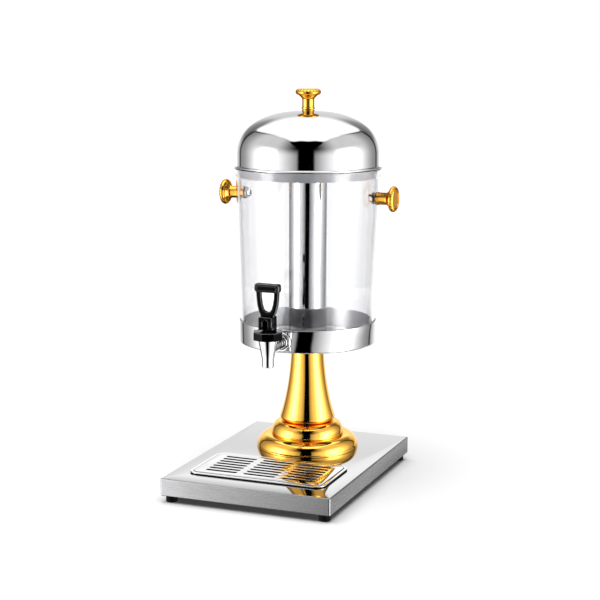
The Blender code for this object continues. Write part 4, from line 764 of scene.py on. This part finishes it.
def bandSection(inner, outer, front, back, edge, steps=5):
    # a rectangle with rounded corners between an inner and an outer path, as points for each row of the paths
    width = np.linalg.norm(outer - inner, axis=1)[:, None]
    unit = roundedLoop(2, 2, 1, steps=steps)  # only the arcs, about the centre
    sign = np.repeat([[1, 1], [-1, 1], [-1, -1], [1, -1]], steps + 1, axis=0)
    across = width / 2 + sign[:, 0] * (width / 2 - edge) + edge * unit[:, 0]
    y = (front + back) / 2 + sign[:, 1] * ((back - front) / 2 - edge) + edge * unit[:, 1]
    share = (across / width)[..., None]
    plane = inner[:, None, :] * (1 - share) + outer[:, None, :] * share
    return plane, np.broadcast_to(y, across.shape)


def yokePatches():
    # two legs joined by an arch, round inside, nearly square outside, and a web that closes the slot's back
    slot, archZ, back, power = take(yokeForm, "slot archZ back square")
    half, rise = yokeForm["width"] / 2, yokeForm["top"] - archZ
    leg = np.linspace(0, 1, 10)
    turn = np.radians(np.linspace(180, 0, 41))
    box = 1 / ((np.abs(np.cos(turn)) / half) ** power + (np.abs(np.sin(turn)) / rise) ** power) ** (1 / power)
    sides = []
    for reach, arch in ((slot, slot), (half, box)):
        out = reach * np.ones_like(leg)
        sides.append(np.vstack([
            np.column_stack([-out, archZ * leg]),
            np.column_stack([arch * np.cos(turn), archZ + arch * np.sin(turn)]),
            np.column_stack([out, archZ * leg[::-1]])]))
    plane, y = bandSection(*sides, yokeForm["front"], back, yokeForm["edge"])
    share = np.concatenate([leg, np.full(len(turn), np.nan), leg[::-1]])[:, None]
    legZ = camFoot(y) * (1 - share) + archZ * share
    z = np.where(np.isnan(share), plane[..., 1], legZ)
    yoke = gridPatch(np.stack([plane[..., 0], y, z], -1) + pinPlace, "cap")
    wide = slot + yokeForm["webOver"]
    webLow = -yokeForm["camRest"] + yokeForm["webUp"]
    web = np.vstack([[(-wide, webLow)], arc((0, archZ), wide, 180, 0, 16), [(wide, webLow)]])
    rows = [np.column_stack([web[:, 0], np.full(len(web), y), web[:, 1]])
            for y in (yokeForm["slotBack"], back - yokeForm["webIn"])]
    return [yoke, gridPatch(np.stack(rows) + pinPlace, "cap")]


def resample(path, count):
    # a number of points at equal shares of the way along a path
    way = np.concatenate([[0], np.cumsum(np.linalg.norm(np.diff(path, axis=0), axis=1))])
    share = np.linspace(0, 1, count)
    return np.column_stack([np.interp(share * way[-1], way, path[:, k]) for k in range(2)])


def loopPatch():
    # a band between the eye's outline and the loop's, from the bar down one side, round the foot and up again
    flip = np.array([-1, 1])
    eyeSide = bend(*loopForm["eyeSide"], 24)
    eyeFoot = arc((0, loopForm["eyeZ"]), loopForm["eyeRadius"], 200, 340, 28)
    sideOut = bend(*loopForm["sideOut"], 40)
    split = loopForm["split"]  # the outer side's point beside the start of the eye's round foot
    high = sideOut[:split + 1]
    low = np.vstack([sideOut[split:], loopForm["footOut"], sideOut[split:][::-1] * flip])
    inner = np.vstack([eyeSide, eyeFoot[1:-1], eyeSide[::-1] * flip])
    outer = np.vstack([
        resample(high, len(eyeSide)), resample(low, len(eyeFoot))[1:-1],
        resample(high[::-1] * flip, len(eyeSide))])
    deep = loopForm["depth"] / 2
    plane, y = bandSection(inner, outer, -deep, deep, loopForm["edge"])
    return gridPatch(np.stack([plane[..., 0], y, plane[..., 1]], -1) + pinPlace, "cap")


def barPatch():
    # rounded-square section along x, drawn in to half at the ends, with a fine groove round a front panel
    half, end, power, groove = barForm["width"] / 2, *take(barForm, "end square groove")
    x = half * np.sin(np.linspace(-math.pi / 2, math.pi / 2, 161))
    over = np.clip((np.abs(x) - (half - end)) / end, 0, 1)
    grow = (0.5 + 0.5 * np.sqrt(1 - over ** 2))[:, None]
    turn = np.linspace(0, 2 * np.pi, 128, endpoint=False)
    square = 1 / (np.abs(np.cos(turn)) ** power + np.abs(np.sin(turn)) ** power) ** (1 / power)
    y = grow * barForm["depth"] / 2 * square * np.cos(turn)
    z = grow * barForm["high"] / 2 * square * np.sin(turn)
    ring = np.hypot(np.maximum(np.abs(x[:, None]) - barForm["panelHalf"], 0), z) - barForm["panelRound"]
    y = y + np.where(y < 0, groove * np.exp(-(ring / groove) ** 2), 0)  # ring: way to the panel's outline
    points = np.stack([np.broadcast_to(x[:, None], y.shape), y, z + barForm["z"]], -1)
    return gridPatch(points + pinPlace, "cap")


def isHandleEdge(centres, normals):
    # rounded edges above the pin, which face neither straight to the front or back nor sideways, and take the
    # painted highlight
    least, most = yokeForm["edgeLean"]
    lean = np.abs(normals[:, 1])
    return (lean > least) & (lean < most) & (centres[:, 2] > pinPlace[2])


addPiece("tapHandle", yokePatches() + [loopPatch(), barPatch()], [blackNylon, highlightEdgeNylon], "handle",
         ["tap_handle"], sharp=40, pick=isHandleEdge)

# Return spring: a coil in the casting with closed end turns, pressed together from below as the stem rises.
springForm = dict(radius=5.2, wire=1.1, turns=4, endPitch=1.7, steps=240, sides=12)
low, high = spanOf("tap_spring", 2)


def springPatch():
    # a circle carried along a helix: one close turn at each end, the rest at an even pitch
    wire, turns, endPitch = take(springForm, "wire turns endPitch")
    turned = np.linspace(0, turns + 2, springForm["steps"] + 1)[:, None]
    pitch = (high - low - wire - 2 * endPitch) / turns
    ends = np.clip(turned, 0, 1) + np.clip(turned - turns - 1, 0, 1)
    climb = endPitch * ends + pitch * np.clip(turned - 1, 0, turns)
    around = np.linspace(0, 2 * np.pi, springForm["sides"], endpoint=False)[None, :]
    radius = springForm["radius"] + wire / 2 * np.cos(around)
    z = low + wire / 2 + climb + wire / 2 * np.sin(around)
    angle = 2 * np.pi * turned
    return gridPatch(np.stack([radius * np.cos(angle), tapY + radius * np.sin(angle), z], -1), "cap")


spring = addPiece("tapSpring", [springPatch()], [zincSteel], "stand", ["tap_spring"], sharp=60)
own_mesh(spring)
print("tap ready")


# Studio: a white floor, white all round, and a dome of white and black cards that only shiny surfaces see.
view = dict(azimuth=21.6507, elevation=10.2706, roll=0.091, eye=(0.85217, -2.11135, 0.68693),
            focal=1563.97, side=600, sensor=36, reach=60)
dome = dict(radius=1.7, centre=(0, axisY * mm, 0.5), columns=480, rows=360, gain=1.75, ceiling=53.5,
            rearCorner=135)


def ceilingEdge(away):
    # degrees where the lit ceiling ends: two shallow dips in front, a fall to the rear corners, level behind
    front = dome["ceiling"] - 6 * np.exp(-((away - 32) / 14) ** 2) - 3 * np.exp(-(away / 14) ** 2)
    side = dome["ceiling"] - 21.5 * (np.clip(away - 85, 0, 50) / 50) ** 1.55
    return np.minimum(front, side) + 8 * ramp(away, dome["rearCorner"], 150)


def wallTone(off, away, rise):
    # white walls, brightest beside the object, dark to the rear and above, a black card round the camera
    front = 0.25 + 0.024 * np.maximum(off - 13, 0) + 2.4 * ramp(off, 42, 62)
    side = 0.24 + 0.00052 * np.clip(130 - away, 0, 90) ** 2 + 1.6 * ramp(92 - away, 0, 26)
    low = np.minimum(front, side)
    high = 0.58 * ramp(off, 14, 56) * (1 - 0.6 * ramp(away, 95, 130))
    card = ramp(off - 20 * ramp(rise, 22, 48) - 4 * ramp(-rise, 20, 34), 10.5, 15)  # wider above and below
    return card * (low + (high - low) * ramp(rise, 2, 26))


def backdropTone(away, rise):
    # white behind the object, darker higher up, low down and towards the corners
    white = 0.72 + 0.33 * ramp(away, 155, 170) * ramp(rise, -2, 6)
    return (white - 0.5 * ramp(rise, 2, 17) - 0.55 * ramp(-rise, 22, 34)) * (0.5 + 0.5 * ramp(away, 138, 158))


def cardTone(turn, rise):
    # brightness by direction: turn in degrees from the camera, rise in degrees above the lid's middle
    lean = 4.5 * ramp(-rise, 8, 28)  # low down the whole set stands a little to the left
    off = np.abs(turn + 3.5 + lean)
    away = np.abs(turn) + 12 * ramp(-rise, 8, 20) * ramp(turn, 40, 80)
    edge = ceilingEdge(away)
    behind = ramp(away, dome["rearCorner"] - 3, dome["rearCorner"] + 2)
    walls = wallTone(off, away, rise)
    tone = walls + (backdropTone(away, rise) - walls) * behind
    lowCard = ramp(turn, 106, 120) * (1 - ramp(turn, 127, 142)) * ramp(-rise, 23, 30)  # for the base's side
    tone = tone + 0.68 * lowCard
    soft = 1.5 + 4.5 * behind
    ceiling = 0.95 + 0.6 * ramp(rise - edge, 2, 16)
    tone = tone + (ceiling - tone) * ramp(rise - edge, -soft, soft)
    tone = tone * (1 - 0.85 * ramp(-rise, 38, 58))  # dark below, so that lower edges stand out
    # thin dark lines where walls, backdrop and ceiling meet
    corner = 0.96 * np.exp(-((away - dome["rearCorner"]) / 3.2) ** 2) * (rise < edge + 2)
    seam = (0.2 + 0.75 * ramp(away, 85, 120)) * np.exp(-((rise - edge) / 1.7) ** 2) * (1 - behind)
    return dome["gain"] * tone * (1 - np.maximum(corner, seam))


def emptyTree(block):
    # a node tree with nothing in it yet
    block.use_nodes = True
    block.node_tree.nodes.clear()
    return block.node_tree


def addStage(name, points, faces, finish):
    # a mesh of the studio, whose glow is not sampled as a lamp
    finish.cycles.emission_sampling = "NONE"
    mesh = bpy.data.meshes.new(name)
    mesh.from_pydata(points, [], faces)
    mesh.materials.append(finish)
    thing = bpy.data.objects.new(name, mesh)
    scene.collection.objects.link(thing)
    return thing


cards = bpy.data.materials.new("studioCards")
tree = emptyTree(cards)
path = addNode(tree, "ShaderNodeLightPath")
mirrored = addNode(tree, "ShaderNodeMath", {"operation": "GREATER_THAN", 1: 0.5},
                   {0: path.outputs["Glossy Depth"]})
tone = addNode(tree, "ShaderNodeAttribute", {"attribute_name": "cards"})
tone = addNode(tree, "ShaderNodeMix", {2: 1.0},  # plain white through the tank
               {0: mirrored.outputs["Value"], 3: tone.outputs["Fac"]})
direct = addNode(tree, "ShaderNodeMath", {"operation": "LESS_THAN", 1: 0.5},
                 {0: path.outputs["Diffuse Depth"]})
level = addNode(tree, "ShaderNodeMath", {"operation": "MULTIPLY"},  # none by way of the floor
                {0: tone.outputs[0], 1: direct.outputs["Value"]})
glow = addNode(tree, "ShaderNodeEmission", {}, {"Strength": level.outputs["Value"]})
addNode(tree, "ShaderNodeOutputMaterial", {}, {"Surface": glow.outputs["Emission"]})

turn = np.linspace(-180, 180, dome["columns"], endpoint=False)[None, :]
rise = np.linspace(-90, 90, dome["rows"] + 1)[:, None]
heading = np.radians(turn + view["azimuth"])
flat = dome["radius"] * np.cos(np.radians(rise))
up = dome["radius"] * np.sin(np.radians(rise)) + 0 * turn
points = np.stack([flat * np.sin(heading), -flat * np.cos(heading), up], -1) + np.array(dome["centre"])
patchPoints, patchFaces = gridPatch(points, "open")
cardDome = addStage("cardDome", patchPoints, patchFaces[0].tolist(), cards)
tones = np.broadcast_to(cardTone(turn, rise), points.shape[:2]).ravel().astype(np.float32)
cardDome.data.attributes.new("cards", "FLOAT", "POINT").data.foreach_set("value", tones)
cardDome.visible_camera = cardDome.visible_diffuse = cardDome.visible_shadow = False

# Light goes through the tank's wall and round in the pan many times before it comes out.
bounces = dict(through=32, mirrored=10)
scene.cycles.max_bounces = scene.cycles.transmission_bounces = bounces["through"]
scene.cycles.glossy_bounces = bounces["mirrored"]

# Floor: pale, white to the eye where no shadow falls, and open to mirrored light.
floorForm = dict(half=12.0, albedo="#EEEEEE", lift=0.045)
paper = bpy.data.materials.new("studioPaper")
tree = emptyTree(paper)
path = addNode(tree, "ShaderNodeLightPath")
seen = addNode(tree, "ShaderNodeMath", {"operation": "MAXIMUM"},
               {0: path.outputs["Is Camera Ray"], 1: path.outputs["Is Transmission Ray"]})
lift = addNode(tree, "ShaderNodeMath", {"operation": "MULTIPLY", 1: floorForm["lift"]},
               {0: seen.outputs["Value"]})
glow = addNode(tree, "ShaderNodeEmission", {}, {"Strength": lift.outputs["Value"]})
matt = addNode(tree, "ShaderNodeBsdfDiffuse", {"Color": linear(floorForm["albedo"])})
both = addNode(tree, "ShaderNodeAddShader", {}, {0: matt.outputs["BSDF"], 1: glow.outputs["Emission"]})
mirrored = addNode(tree, "ShaderNodeMath", {"operation": "GREATER_THAN", 1: 0.5},
                   {0: path.outputs["Glossy Depth"]})
gap = addNode(tree, "ShaderNodeBsdfTransparent")
whole = addNode(tree, "ShaderNodeMixShader", {},
                {0: mirrored.outputs["Value"], 1: both.outputs["Shader"], 2: gap.outputs["BSDF"]})
addNode(tree, "ShaderNodeOutputMaterial", {}, {"Surface": whole.outputs["Shader"]})
half = floorForm["half"]
floor = addStage("studioFloor", [(-half, -half, 0), (half, -half, 0), (half, half, 0), (-half, half, 0)],
                 [(0, 1, 2, 3)], paper)
floor.visible_glossy = False
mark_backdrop(cardDome, floor)

# World: white to the eye and to mirrors, a plain lower level for everything it lights.
worldForm = dict(plain=0.07, white=1.0)
world = bpy.data.worlds.new("studioWorld")
scene.world = world
tree = emptyTree(world)
path = addNode(tree, "ShaderNodeLightPath")
seen = addNode(tree, "ShaderNodeMath", {"operation": "MAXIMUM"},
               {0: path.outputs["Is Camera Ray"], 1: path.outputs["Is Glossy Ray"]})
seen = addNode(tree, "ShaderNodeMath", {"operation": "MAXIMUM"},
               {0: seen.outputs["Value"], 1: path.outputs["Is Transmission Ray"]})
plain, white = (addNode(tree, "ShaderNodeBackground", {"Strength": worldForm[key], "Color": (1, 1, 1, 1)})
                for key in ("plain", "white"))
chosen = addNode(tree, "ShaderNodeMixShader", {},
                 {0: seen.outputs["Value"], 1: plain.outputs["Background"], 2: white.outputs["Background"]})
addNode(tree, "ShaderNodeOutputWorld", {}, {"Surface": chosen.outputs["Shader"]})

# Lamp: one broad overhead light, a little from the front left, that draws the soft shadow on the floor.
lampForm = dict(strength=3.8, angle=75, lean=(0.06, 0.1))
lamp = bpy.data.lights.new("overheadLamp", "SUN")
lamp.energy = lampForm["strength"]
lamp.angle = math.radians(lampForm["angle"])
lampPiece = bpy.data.objects.new("overheadLamp", lamp)
lampPiece.rotation_euler = (lampForm["lean"][1], -lampForm["lean"][0], 0)
lampPiece.visible_glossy = lampPiece.visible_transmission = False
scene.collection.objects.link(lampPiece)

# Camera: the photograph's own view.
turn, tilt, roll = (math.radians(view[key]) for key in ("azimuth", "elevation", "roll"))
back = np.array([math.sin(turn) * math.cos(tilt), -math.cos(turn) * math.cos(tilt), math.sin(tilt)])
right = np.array([math.cos(turn), math.sin(turn), 0])
up = np.cross(back, right)
rolledRight = math.cos(roll) * right + math.sin(roll) * up
rolledUp = math.cos(roll) * up - math.sin(roll) * right
axes = np.stack([rolledRight, rolledUp, back], 1)
lens = bpy.data.cameras.new("photoCamera")
lens.sensor_width = view["sensor"]
lens.lens = view["focal"] / view["side"] * lens.sensor_width
lens.clip_end = view["reach"]
camera = bpy.data.objects.new("photoCamera", lens)
camera.matrix_world = Matrix.Translation(view["eye"]) @ Matrix(axes.tolist()).to_4x4()
scene.collection.objects.link(camera)
scene.camera = camera
print("studio ready")

low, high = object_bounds()
